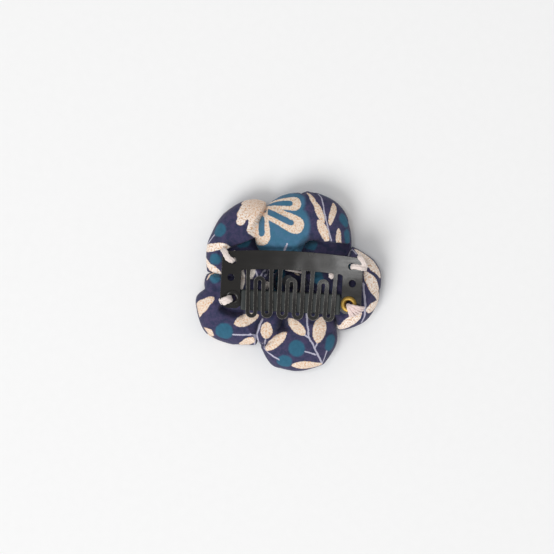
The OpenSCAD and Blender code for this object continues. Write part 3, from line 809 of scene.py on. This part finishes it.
# ---------------------------------------------------------------- painted steel, brass and sleeve
def painted_steel(name, base, edge=None, roughness=0.23):
    """Charcoal satin paint with a fine orange-peel surface; edge, when given, is a lighter tone mixed in
    patches, and the sheet's rounded edges get it.
    """
    material, s, surface = new_material(name)
    point = place(s)
    patches = s.smooth(s.noise(point, 2.2, 3.0, 0.6), 0.35, 0.6) if edge else s.noise(point, 0.16, 3.0)
    rub = s.noise(s.vector("MULTIPLY", point, (0.3, 1.6, 1.0)), 0.8, 4.0, 0.6)
    peel = s.bump(s.noise(point, 5.0, 2.0), 0.12, 0.05 * MM)
    swell = s.bump(s.noise(point, 0.13, 1.0), 1.0, 0.25 * MM, peel)
    below = s.math("MINIMUM", s.minus(s.split(point)[1], 1.5), 0.0)
    droop = s.bump(s.times(s.times(below, below), -0.012), 1.0, MM, swell)
    s.fill(surface, {
        "Base Color": s.mix(patches, colour(base), colour(edge or "24211f")),
        "Roughness": s.times_plus(rub, 0.16, roughness - 0.08),
        "Normal": droop, "Specular IOR Level": 0.42})
    return material


def polished_metal(name, base, roughness):
    """Bare metal, cloudy with wear."""
    material, s, surface = new_material(name)
    point = place(s)
    worn = tuple(0.78 * c for c in colour(base)[:3]) + (1.0,)
    s.fill(surface, {
        "Base Color": s.mix(s.noise(point, 0.9, 3.0), colour(base), worn),
        "Roughness": s.times_plus(s.noise(point, 3.0, 2.0), 0.15, roughness), "Metallic": 1.0})
    return material


def soft_plastic(name, base, streak):
    """Matt plastic tube with fine ribs along it."""
    material, s, surface = new_material(name)
    point = place(s)
    cloud = s.noise(s.vector("MULTIPLY", point, (0.3, 1.0, 1.0)), 0.8, 3.0)
    ribs = s.noise(s.vector("MULTIPLY", point, (0.25, 5.0, 1.0)), 1.0, 2.0)
    s.fill(surface, {
        "Base Color": s.mix(cloud, colour(base), colour(streak)),
        "Roughness": s.times_plus(cloud, 0.15, 0.42),
        "Normal": s.bump(ribs, 0.2, 0.05 * MM), "Specular IOR Level": 0.5})
    return material


STEEL = painted_steel("painted_steel", "121211")
# The sheet's rounded edges get a lighter tone than its broad faces
STEEL_EDGE = painted_steel("painted_steel_edge", "4a4845", "8b8882", 0.4)
SLEEVE = soft_plastic("sleeve_plastic", "22282a", "2c3230")
BRASS = polished_metal("brass", "a78846", 0.35)
# The bare steel is darkened: painted shade, so the button shank looks as dark as the shaded gaps under the
# clip
BARE_STEEL = polished_metal("bare_steel", "4b4c4f", 0.45)
BROAD = 0.97  # faces whose normal is at least this upright are a sheet's broad ones


def arc(cx, cy, r, start, end, steps):
    """Points of an arc, angles in degrees."""
    turn = np.radians(np.linspace(start, end, steps + 1))
    return [(cx + r * math.cos(t), cy + r * math.sin(t)) for t in turn]


def steel_sheet(name, outlines, inset=0.0, edge=0.07, pitch=0.8):
    """A flat piece of sheet with softly rounded edges, and its points; the outlines are rim and holes."""
    data = bpy.data.curves.new(name, "CURVE")
    data.dimensions, data.fill_mode = "2D", "BOTH"
    data.extrude = STEEL_T / 2 - inset - edge
    data.bevel_depth, data.bevel_resolution, data.offset = edge, 2, -edge
    for outline in outlines:
        spline = data.splines.new("POLY")
        spline.points.add(len(outline) - 1)
        for point, (x, y) in zip(spline.points, outline):
            point.co = (x, y, 0, 1)
        spline.use_cyclic_u = True
    ob = new_object(name, data)
    mesh = evaluated(ob)
    bpy.data.objects.remove(ob)
    bpy.data.curves.remove(data)
    bm = bmesh.new()
    bm.from_mesh(mesh)
    bmesh.ops.remove_doubles(bm, verts=bm.verts, dist=1e-4)
    xs = [v.co.x for v in bm.verts]
    for x in np.arange(min(xs) + pitch / 2, max(xs), pitch):
        bmesh.ops.bisect_plane(bm, geom=bm.verts[:] + bm.edges[:] + bm.faces[:],
                               plane_co=(x, 0, 0), plane_no=(1, 0, 0))
    bm.normal_update()
    for face in bm.faces:
        face.material_index = 1 if 0.2 < face.normal.z < BROAD else 0
        face.smooth = True
    bm.to_mesh(mesh)
    bm.free()
    mesh.name = name
    flat = read(mesh.vertices, "co")
    flat[:, 2] += STEEL_T / 2
    return new_object(name, mesh), flat


def set_bent(ob, points, rise=0.0):
    """Moves a flat piece's points to their bent places and shades its broad faces as the bent sheet."""
    mesh = ob.data
    facing = read(mesh.polygons, "normal")[:, 2]
    facing = np.repeat(facing, [face.loop_total for face in mesh.polygons])
    corner = np.zeros(len(mesh.loops), int)
    mesh.loops.foreach_get("vertex_index", corner)
    mesh.vertices.foreach_set("co", (points * MM).ravel())
    mesh.update()
    x = points[:, 0] - CLIP[0]
    across, along = -x / np.sqrt(BEND_R ** 2 - x ** 2), np.full(len(x), -1.0) * rise
    normal = np.column_stack([across, along, np.ones(len(x))])
    normal /= np.linalg.norm(normal, axis=1)[:, None]
    side = np.where(facing > BROAD, 1.0, np.where(facing < -BROAD, -1.0, 0.0))
    mesh.normals_split_custom_set((normal[corner] * side[:, None]).tolist())


def window_top(x):
    """Height of the window's arched upper edge, where the teeth leave the band."""
    return BAND_TOP - ARCH_R + math.sqrt((ARCH_R - BAND_H) ** 2 - x * x)


def frame_rim():
    """Outline of the band with its two ears, anticlockwise from the right ear's tip."""
    half, inner = CLIP_W / 2, WINDOW_W / 2
    low = EYELET[1] - (half - inner) / 2
    tip_r, corner, inner_tip_r, inner_corner = 2.1, 1.2, 1.0, 0.45

    def top_y(x):
        return BAND_TOP - ARCH_R + math.sqrt(ARCH_R ** 2 - x * x)

    points = arc(half - tip_r, low + tip_r, tip_r, -90, 0, 10)
    points += arc(half - corner, top_y(half) - corner - 0.02, corner, 0, 84, 8)
    points += [(x, top_y(x)) for x in np.linspace(half - corner - 0.2, corner + 0.2 - half, 36)]
    points += arc(corner - half, top_y(half) - corner - 0.02, corner, 96, 180, 8)
    points += arc(tip_r - half, low + tip_r, tip_r, 180, 270, 10)
    points += arc(-inner - inner_tip_r, low + inner_tip_r, inner_tip_r, 270, 360, 6)
    r = inner_corner
    points += arc(-inner + r, window_top(inner) - r, r, 180, 94, 6)
    points += [(x, window_top(x)) for x in np.linspace(r + 0.1 - inner, inner - r - 0.1, 28)]
    points += arc(inner - r, window_top(inner) - r, r, 86, 0, 6)
    return points + arc(inner + inner_tip_r, low + inner_tip_r, inner_tip_r, 180, 270, 6)


def hole(x, y, d):
    """Outline of a round hole."""
    return arc(x, y, d / 2, 0, 352.5, 47)


def make_frame():
    """The band with its two ears and their six holes."""
    sizes = ((*TOP_HOLE, SEWING_D), (*MIDDLE_HOLE, SEWING_D), (*EYELET, EYELET_WALL_D + 0.1))
    holes = [hole(side * x, y, d) for side in (-1, 1) for x, y, d in sizes]
    ob, flat = steel_sheet("painted_spring_frame", [frame_rim(), *holes])
    set_bent(ob, in_clip(flat))
    finish_piece(ob, [STEEL, STEEL_EDGE], ["spring_frame"])


STRIP_W, STRIP_PITCH, GROUP_PITCH = 0.9, 1.75, 7.35
TOOTH_TIP, ARCH_TOP, GROUP_LEAN = 8.4, 1.1, math.radians(2)
ROOT_BEND = 0.9  # length over which the teeth bend up out of the band


def comb_outline(root_left, root_right):
    """Outline of one comb group: a single strip, down, round, up, over, down, round and up again."""
    p, half = STRIP_PITCH, STRIP_W / 2
    turn_r, mid_r = (p + STRIP_W) / 2, p / 2
    low, high = turn_r - TOOTH_TIP, ARCH_TOP - turn_r
    flare, rise = 0.5, 0.62

    def side(offset):
        """The strip's edge at that offset to the left of its middle line."""
        r_loop, r_arch = mid_r - offset, mid_r + offset
        line = [(-1.5 * p + offset, low)] + arc(-p, low, r_loop, 180, 360, 16)
        line += arc(0, high, r_arch, 180, 0, 16)
        return line + arc(p, low, r_loop, 180, 360, 16) + [(1.5 * p - offset, low)]

    def root(x, top, outwards):
        """Fillet that widens the strip's edge into the band."""
        turns = np.radians(np.linspace(0, 75, 6))
        return [(x + outwards * flare * (1 - math.cos(t)), top - rise + flare * 1.15 * math.sin(t))
                for t in turns]

    points = root(-1.5 * p - half, root_left, -1)[::-1] + side(-half) + root(1.5 * p + half, root_right, 1)
    points += root(1.5 * p - half, root_right, -1)[::-1] + side(half)[::-1]
    return points + root(-1.5 * p + half, root_left, 1)


def make_comb(name, index):
    """One group of teeth; index is -1, 0 or 1 from left to right."""
    group_x = index * GROUP_PITCH

    def local_root(side):
        reach = side * 1.5 * STRIP_PITCH
        return window_top(group_x + reach) + reach * math.sin(GROUP_LEAN) * index + 0.28

    ob, flat = steel_sheet("painted_" + name, [comb_outline(local_root(-1), local_root(1))], inset=0.02)
    lean = -index * GROUP_LEAN
    x, y = flat[:, 0].copy(), flat[:, 1] - ROOT_Y
    flat[:, 0] = group_x + math.cos(lean) * x - math.sin(lean) * y
    flat[:, 1] = ROOT_Y + math.sin(lean) * x + math.cos(lean) * y
    reach = np.maximum(ROOT_Y - 0.15 * abs(index) - flat[:, 1], 0)
    run = np.where(reach < ROOT_BEND, reach ** 2 / (2 * ROOT_BEND), reach - ROOT_BEND / 2)
    points = in_clip(flat)
    points[:, 2] += run * math.tan(COMB_TILT)
    set_bent(ob, points, -np.clip(reach / ROOT_BEND, 0, 1) * math.tan(COMB_TILT))
    ob.data.materials.append(STEEL)
    ob.data.materials.append(STEEL_EDGE)
    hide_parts(name)
    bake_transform(ob)


def lathe(name, profile, centre, steps=64):
    """A ring turned about the sheet's own normal; profile points are (radius, height over the underside)."""
    profile = np.asarray(profile, float)
    n = len(profile)
    turns = np.linspace(0, TURN, steps, endpoint=False)
    flat = np.array([(r * math.cos(t), r * math.sin(t), h) for t in turns for r, h in profile])
    faces = [(i * n + j, (i + 1) % steps * n + j, (i + 1) % steps * n + (j + 1) % n, i * n + (j + 1) % n)
             for i in range(steps) for j in range(n)]
    lean = math.asin(centre[0] / BEND_R)
    x, z = flat[:, 0].copy(), flat[:, 2] - BEND_R
    flat[:, 0] = x * math.cos(lean) - z * math.sin(lean)
    flat[:, 2] = x * math.sin(lean) + z * math.cos(lean) + BEND_R
    flat[:, 1] += centre[1]
    return outward(make_mesh(name, flat + CLIP, faces))


def make_eyelet(side, material):
    """A hollow rivet through ear and bar; side is -1 for the left one and 1 for the right one."""
    bore, wall, rim = EYELET_BORE_D / 2, EYELET_WALL_D / 2, EYELET_D / 2
    top, under = STEEL_T + 0.02, -STEEL_T - 0.06
    profile = [(bore, -0.7), (bore, 0.35), (bore + 0.03, 0.55), (bore + 0.13, 0.72), (bore + 0.3, 0.83),
               (bore + 0.48, 0.86), (rim - 0.3, 0.8), (rim - 0.12, 0.7), (rim - 0.02, 0.6),
               (rim - 0.03, top),
               (rim - 0.25, top), (wall, top), (wall, under), (rim - 0.25, under),
               (rim - 0.22, -0.7), (rim - 0.3, -0.78), (bore + 0.08, -0.78)]
    finish, name = ("painted_", "eyelet_left") if side < 0 else ("brass_", "eyelet_right")
    ob = lathe(finish + name, profile, (side * EYELET[0], EYELET[1]))
    finish_piece(subdivided(ob), [material], [name])


def make_sleeve():
    """The grip sleeve: a soft flattened tube, slid over the bar and a little crushed at its ends."""
    half_len, high, low = 11.25, -2.1, -6.8
    top, bottom, r = 0.27, -0.84, 0.42
    section = []
    for cx, cy, start in ((low + r, bottom + r, 180), (high - r, bottom + r, 270), (high - r, top - r, 0),
                          (low + r, top - r, 90)):
        section += arc(cx, cy, r, start, start + 90, 5)
    section = np.array(section)
    middle = section.mean(axis=0)
    ends = half_len - np.array([0, 0.05, 0.2, 0.5])
    stations = np.concatenate([-ends, np.linspace(-half_len + 1, half_len - 1, 40), ends[::-1]])
    flat = []
    for x in stations:
        inset = 0.14 * (1 - min(1, (half_len - abs(x)) / 0.3)) ** 2
        wave = 0.03 * math.sin(1.7 * x) * math.sin(0.53 * x + 1)
        for dy, dz in section - middle:
            flat.append((x, middle[0] + dy * (1 - inset) + wave * (dy > 0), middle[1] + dz * (1 - inset)))
    n = len(section)
    faces = tube_faces(len(stations), n)
    faces += [list(range(n)), list(range((len(stations) - 1) * n, len(stations) * n))[::-1]]
    ob = outward(make_mesh("plastic_grip_sleeve", in_clip(flat), faces))
    finish_piece(ob, [SLEEVE], ["grip_sleeve"])


make_frame()
for index, comb_name in ((-1, "comb_left"), (0, "comb_middle"), (1, "comb_right")):
    make_comb(comb_name, index)
make_eyelet(-1, STEEL)
make_eyelet(1, BRASS)
make_sleeve()


# ---------------------------------------------------------------- sewing thread
def thread_material(name, light, shade):
    """Soft cotton thread, mottled between two tones."""
    material, s, surface = new_material(name)
    point = place(s)
    s.fill(surface, {
        "Base Color": s.mix(s.noise(point, 3.0, 4.0, 0.7), colour(shade), colour(light)),
        "Normal": s.bump(s.noise(point, 9.0, 3.0, 0.6), 0.4, 0.03 * MM),
        "Roughness": 0.72, "Sheen Weight": 0.35, "Specular IOR Level": 0.25})
    return material


CREAM_THREAD = thread_material("cream_thread", "f6ece6", "d6c4bd")
ROSE_THREAD = thread_material("rose_thread", "f6e6e1", "dcbfba")
NAVY_THREAD = thread_material("navy_thread", "2b2c42", "181a2a")
RING_GAP, RING_SIDES = 0.09, 12  # of a thread's mesh
OVER_SHEET, OVER_RIM = STEEL_T + 0.3, 1.25  # heights at which threads cross the sheet and the rivets' rims
STRANDS = 3  # in each stitch but the fan
BUTTON_PRINT = 0.7, -32.8  # the button's place on its cloth, far out where the sprigs are


def even(path):
    """Points spaced evenly along a smooth curve through the path, and their distances along it."""
    curve = rounded_loop(path, closed=False, pieces=16)
    walked = np.concatenate([[0], np.cumsum(np.linalg.norm(np.diff(curve, axis=0), axis=1))])
    at = np.linspace(0, walked[-1], max(6, int(walked[-1] / RING_GAP)))
    return np.column_stack([np.interp(at, walked, curve[:, k]) for k in range(3)]), at


def twisted(path, d, lay=1.9, phase=0.0):
    """A two-ply thread along the path: points and faces, in the path's own frame."""
    middle, walked = even(path)
    tangent = np.gradient(middle, axis=0)
    tangent /= np.linalg.norm(tangent, axis=1)[:, None]
    across = np.zeros_like(middle)
    across[0] = np.cross(tangent[0], (0.3, 0.2, 1.0))
    for i in range(1, len(middle)):
        across[i] = across[i - 1] - tangent[i] * (across[i - 1] @ tangent[i])
        across[i] /= np.linalg.norm(across[i])
    across[0] /= np.linalg.norm(across[0])
    up = np.cross(tangent, across)
    turn = np.linspace(0, TURN, RING_SIDES, endpoint=False)
    cos, sin = np.cos(turn)[:, None], np.sin(turn)[:, None]
    points = []
    for i in range(len(middle)):
        spin = walked[i] * TURN / lay + phase
        lobe = d / 2 * (0.90 + 0.10 * np.cos(2 * (turn - spin)))
        points.append(middle[i] + (across[i] * cos + up[i] * sin) * lobe[:, None])
    last = (len(middle) - 1) * RING_SIDES
    caps = [list(range(RING_SIDES))[::-1], list(range(last, last + RING_SIDES))]
    return np.vstack(points), tube_faces(len(middle), RING_SIDES) + caps


def thread_piece(name, strands, material, stands_for):
    """One mesh of several strands; each strand is (path in the clip's flat frame, diameter, phase)."""
    all_points, all_faces, count = [], [], 0
    for path, d, phase in strands:
        points, faces = twisted(path, d, phase=phase)
        all_points.append(points)
        all_faces += [tuple(count + i for i in face) for face in faces]
        count += len(points)
    ob = outward(make_mesh(name, in_clip(np.vstack(all_points)), all_faces))
    finish_piece(ob, [material], [stands_for])


def bundle(path, d, spread, seed, fan):
    """Several strands side by side along one path; fan widens them towards the path's far end."""
    rng = np.random.default_rng(seed)
    path = np.asarray(path, float)
    ahead = path[-1, :2] - path[0, :2]
    side = np.array([-ahead[1], ahead[0]]) / np.linalg.norm(ahead)
    share = np.linspace(0, 1, len(path))
    widen = (1 + (fan - 1) * share) * np.sin(np.pi * np.clip(0.18 + 0.62 * share, 0, 1)) ** 0.6
    out = []
    for k in range(STRANDS):
        offset = (k - (STRANDS - 1) / 2) * spread
        moved = path.copy()
        moved[:, :2] += side * (offset * widen)[:, None]
        moved[:, :2] += rng.normal(0, 0.04, (len(path), 2))
        moved[:, 2] += 0.10 * (1 - (2 * k / (STRANDS - 1) - 1) ** 2) + rng.normal(0, 0.02, len(path))
        out.append((moved, d * rng.uniform(0.92, 1.08), rng.uniform(0, 6)))
    return out


def make_stitches():
    """The stitches that run out of the clip's holes, over its edges and down into the petals."""
    over = OVER_SHEET
    top_left = [(-13.35, 4.3, -1.6), (-13.5, 4.25, 0.2), (-14.0, 4.3, over + 0.2),
                (-14.6, 4.65, over + 0.4), (-15.15, 5.3, over + 0.35), (-15.45, 6.05, over - 0.1),
                (-15.65, 6.5, -0.4), (-15.7, 6.55, -2.0)]
    across = [(13.35, 4.3, -1.6), (13.5, 4.3, 0.2), (14.1, 4.3, over + 0.1), (14.9, 4.25, over + 0.2),
              (15.7, 4.15, over + 0.1), (16.25, 4.1, 0.2), (16.4, 4.1, -0.9), (16.4, 4.0, -2.2)]
    corner = [(14.9, 6.9, -1.2), (15.0, 6.75, 0.1), (15.25, 6.5, over), (15.6, 6.15, over + 0.15),
              (16.0, 5.6, over + 0.25), (16.3, 4.95, over + 0.15), (16.45, 4.5, -0.2), (16.45, 4.3, -1.6)]
    over = OVER_RIM
    bottom_left = [(-13.6, -4.3, -1.6), (-13.7, -4.35, 0.3), (-14.0, -4.48, over + 0.1),
                   (-14.4, -4.68, over + 0.4), (-14.8, -4.88, over + 0.35), (-15.15, -5.05, over - 0.1),
                   (-15.4, -5.17, 0.2), (-15.45, -5.2, -0.7), (-15.3, -5.15, -2.0)]
    fan = []
    start = np.array((12.95, -4.35))
    ends = ((16.25, -4.9), (16.05, -5.4), (15.6, -5.9), (15.0, -6.3), (14.3, -6.65), (13.7, -6.8))
    for k, end in enumerate(ends):
        shares_and_heights = (
            (0, -1.4), (0.03, 0.5), (0.2, over + 0.08 * (k % 3)), (0.5, over + 0.12 * ((k + 1) % 2)),
            (0.85, over - 0.35), (1, 0.2), (1.03, -1.0), (1.03, -2.2))
        path = [(*(start + (end - start) * share), z) for share, z in shares_and_heights]
        fan.append((path, 0.6 if k % 2 else 0.68, k * 1.1))
    right = bundle(across, 0.66, 0.34, 2, 1.05) + bundle(corner, 0.56, 0.28, 3, 1.2)
    for name, strands, material in (("top_left", bundle(top_left, 0.74, 0.34, 1, 0.9), CREAM_THREAD),
                                    ("top_right", right, CREAM_THREAD),
                                    ("bottom_left", bundle(bottom_left, 0.92, 0.46, 4, 0.9), CREAM_THREAD),
                                    ("bottom_right", fan, ROSE_THREAD)):
        thread_piece("thread_" + name, strands, material, "stitch_" + name)


def make_knot():
    """The knot of the sewing thread that shows in the window: a ball of tight loops with two tails."""
    low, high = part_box("thread_knot")
    centre = np.array((low + high) / 2) / MM - CLIP
    rng = np.random.default_rng(5)
    strands = []
    for k in range(6):
        axis = rng.normal(size=3)
        axis /= np.linalg.norm(axis)
        a = np.cross(axis, (0.2, 0.9, 0.4))
        a /= np.linalg.norm(a)
        b = np.cross(axis, a)
        turns = np.linspace(0, 0.9 * TURN, 10)
        loop = centre + 0.5 * (np.cos(turns)[:, None] * a + np.sin(turns)[:, None] * b) * (1, 1.35, 0.9)
        strands.append((loop, 0.42, k))
    for end in ((-0.5, 1.6, -0.6), (0.8, 1.3, -0.7)):
        end = np.array(end)
        strands.append(([centre, centre + end * 0.5 + (0, 0, 0.1), centre + end], 0.3, 0))
    thread_piece("thread_knot_loops", strands, CREAM_THREAD, "thread_knot")


def make_gathering():
    """The gathering thread: a slack two-ply ring through the petals' inner ends, and its free end."""
    turns = np.linspace(0, TURN, 49)
    r = 3.2 + 0.07 * np.sin(5 * turns) + 0.03 * np.sin(11 * turns)
    z = 5.3 + 0.12 * np.sin(7 * turns + 1)
    path = np.column_stack([r * np.cos(turns), r * np.sin(turns), z])
    points, faces = twisted(path, 0.62, lay=1.3)
    points[:, :2] += FLOWER[:2]
    ob = outward(make_mesh("thread_gathering", points, faces))
    finish_piece(ob, [NAVY_THREAD], ["gathering_thread"])
    stitch = [(-0.5, 2.75, 5.0), (0.1, 2.6, 6.0), (1.4, 2.35, 6.2), (2.8, 2.1, 6.0), (3.2, 2.0, 5.0)]
    ob = outward(make_mesh("thread_gathering_stitch", *twisted(in_flower(stitch), 0.6)))
    finish_piece(ob, [CREAM_THREAD])


def make_button():
    """The covered button on the flower's front: cotton drawn over a dome and gathered behind it."""
    radius, low, dome_steps, spokes = 4.2, 0.5, 14, 96
    shell = []
    for a in np.arange(1, dome_steps + 1) / dome_steps:
        shell.append((radius * a ** 0.9, low + 1.0 * (1 - math.sqrt(max(0, 1 - (0.96 * a) ** 2)))))
    shell += [(radius + x, low + z) for x, z in (
        (0.02, 1.2), (0, 1.55), (-0.2, 1.85), (-0.7, 1.98), (-1.4, 1.9), (-2.2, 1.8), (-2.75, 1.74))]
    points = [(0, 0, low)]
    for r, z in shell:
        pleat = step(z, low + 1.3, low + 1.9) * 0.09
        for k in range(spokes):
            t = TURN * k / spokes
            wave = pleat * math.sin(17 * t + 0.6 * math.sin(3 * t)) * (1 - 0.3 * math.cos(5 * t))
            points.append((r * math.cos(t), r * math.sin(t), z - abs(wave)))
    faces = [(0, 1 + (k + 1) % spokes, 1 + k) for k in range(spokes)]
    faces += tube_faces(len(shell), spokes, first=1)
    faces.append(list(range(len(points) - spokes, len(points))))
    points = np.array(points)
    points[:, :2] += FLOWER[:2]
    ob = outward(make_mesh("covered_button", points, faces))
    cloth = points[:, :2] - FLOWER[:2] + BUTTON_PRINT
    store_print(ob, cloth, cloth, np.ones(len(points)))
    finish_piece(ob, [printed_cotton("button_cotton", {})], ["centre_button"])


make_stitches()
make_knot()
make_gathering()
make_button()
for cad_node, material, slot in (("lower_bar", STEEL, "painted_steel"),
                                 ("button_shank", BARE_STEEL, "bare_steel")):
    node_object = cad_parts[cad_node]
    node_object.data.materials.clear()
    node_object.data.materials.append(material)


# ---------------------------------------------------------------- stage, light and camera
scene = bpy.context.scene
scene.view_settings.view_transform = "Standard"
KEY, TOP, UNDER, WORLD = 29.0, 0.22, 4.5, 0.47  # strengths of the lights
FLOOR_HALF = 600.0
VIEW_W, CAMERA_FAR, VIEW_PLANE = 125.8, 460.0, 9.0  # the view is that wide on the plane at that height
SENSOR_W = 36.0


def stage_floor():
    """A pale floor that lets light through from below and isn't seen from there."""
    h = FLOOR_HALF
    floor = make_mesh("floor", [(-h, -h, 0), (h, -h, 0), (h, h, 0), (-h, h, 0)], [(0, 1, 2, 3)])
    material, s, surface = new_material("pale_floor")
    s.fill(surface, {"Base Color": s.mix(s.noise(place(s), 0.5, 3.0), colour("f6f6f6"), colour("f9f9f9")),
                     "Roughness": 0.8, "Specular IOR Level": 0.1})
    unseen = s.math("MAXIMUM", s.node("ShaderNodeNewGeometry").outputs["Backfacing"],
                    s.node("ShaderNodeLightPath").outputs["Is Shadow Ray"])
    clear = s.node("ShaderNodeBsdfTransparent").outputs[0]
    seen = s.node("ShaderNodeMixShader", {0: unseen, 1: surface.outputs[0], 2: clear}).outputs[0]
    s.fill(s.tree.nodes["Material Output"], {0: seen})
    floor.data.materials.append(material)


def area_light(name, place_mm, size_mm, power):
    """A round light that looks at the flower's middle."""
    data = bpy.data.lights.new(name, "AREA")
    data.shape = "DISK"
    data.size = size_mm * MM
    data.energy = power
    light = new_object(name, data)
    light.location = Vector(place_mm) * MM
    light.rotation_mode = "QUATERNION"
    light.rotation_quaternion = (Vector((0, 0, 5)) - Vector(place_mm)).to_track_quat("-Z", "Y")


def stage_light():
    area_light("key", (-780, -1260, 1650), 1340, KEY)
    area_light("top", (-80, 30, 430), 70, TOP)
    area_light("under", (0, -200, -1500), 900, UNDER)
    world = bpy.data.worlds.new("studio")
    scene.world = world
    world.use_nodes = True
    background = world.node_tree.nodes["Background"]
    background.inputs["Color"].default_value = (1, 1, 1, 1)
    background.inputs["Strength"].default_value = WORLD


def stage_camera():
    """A camera straight above the flower, turned with it."""
    data = bpy.data.cameras.new("camera")
    data.sensor_width = SENSOR_W
    data.lens = SENSOR_W * CAMERA_FAR / VIEW_W
    data.clip_start, data.clip_end = 0.01, 10
    camera = new_object("camera", data)
    x, y, _ = in_flower([-2.6, 1.0, 0.0])
    camera.location = Vector((x, y, VIEW_PLANE + CAMERA_FAR)) * MM
    camera.rotation_euler = (0, 0, FLOWER_TURN)
    scene.camera = camera


stage_floor()
stage_light()
stage_camera()
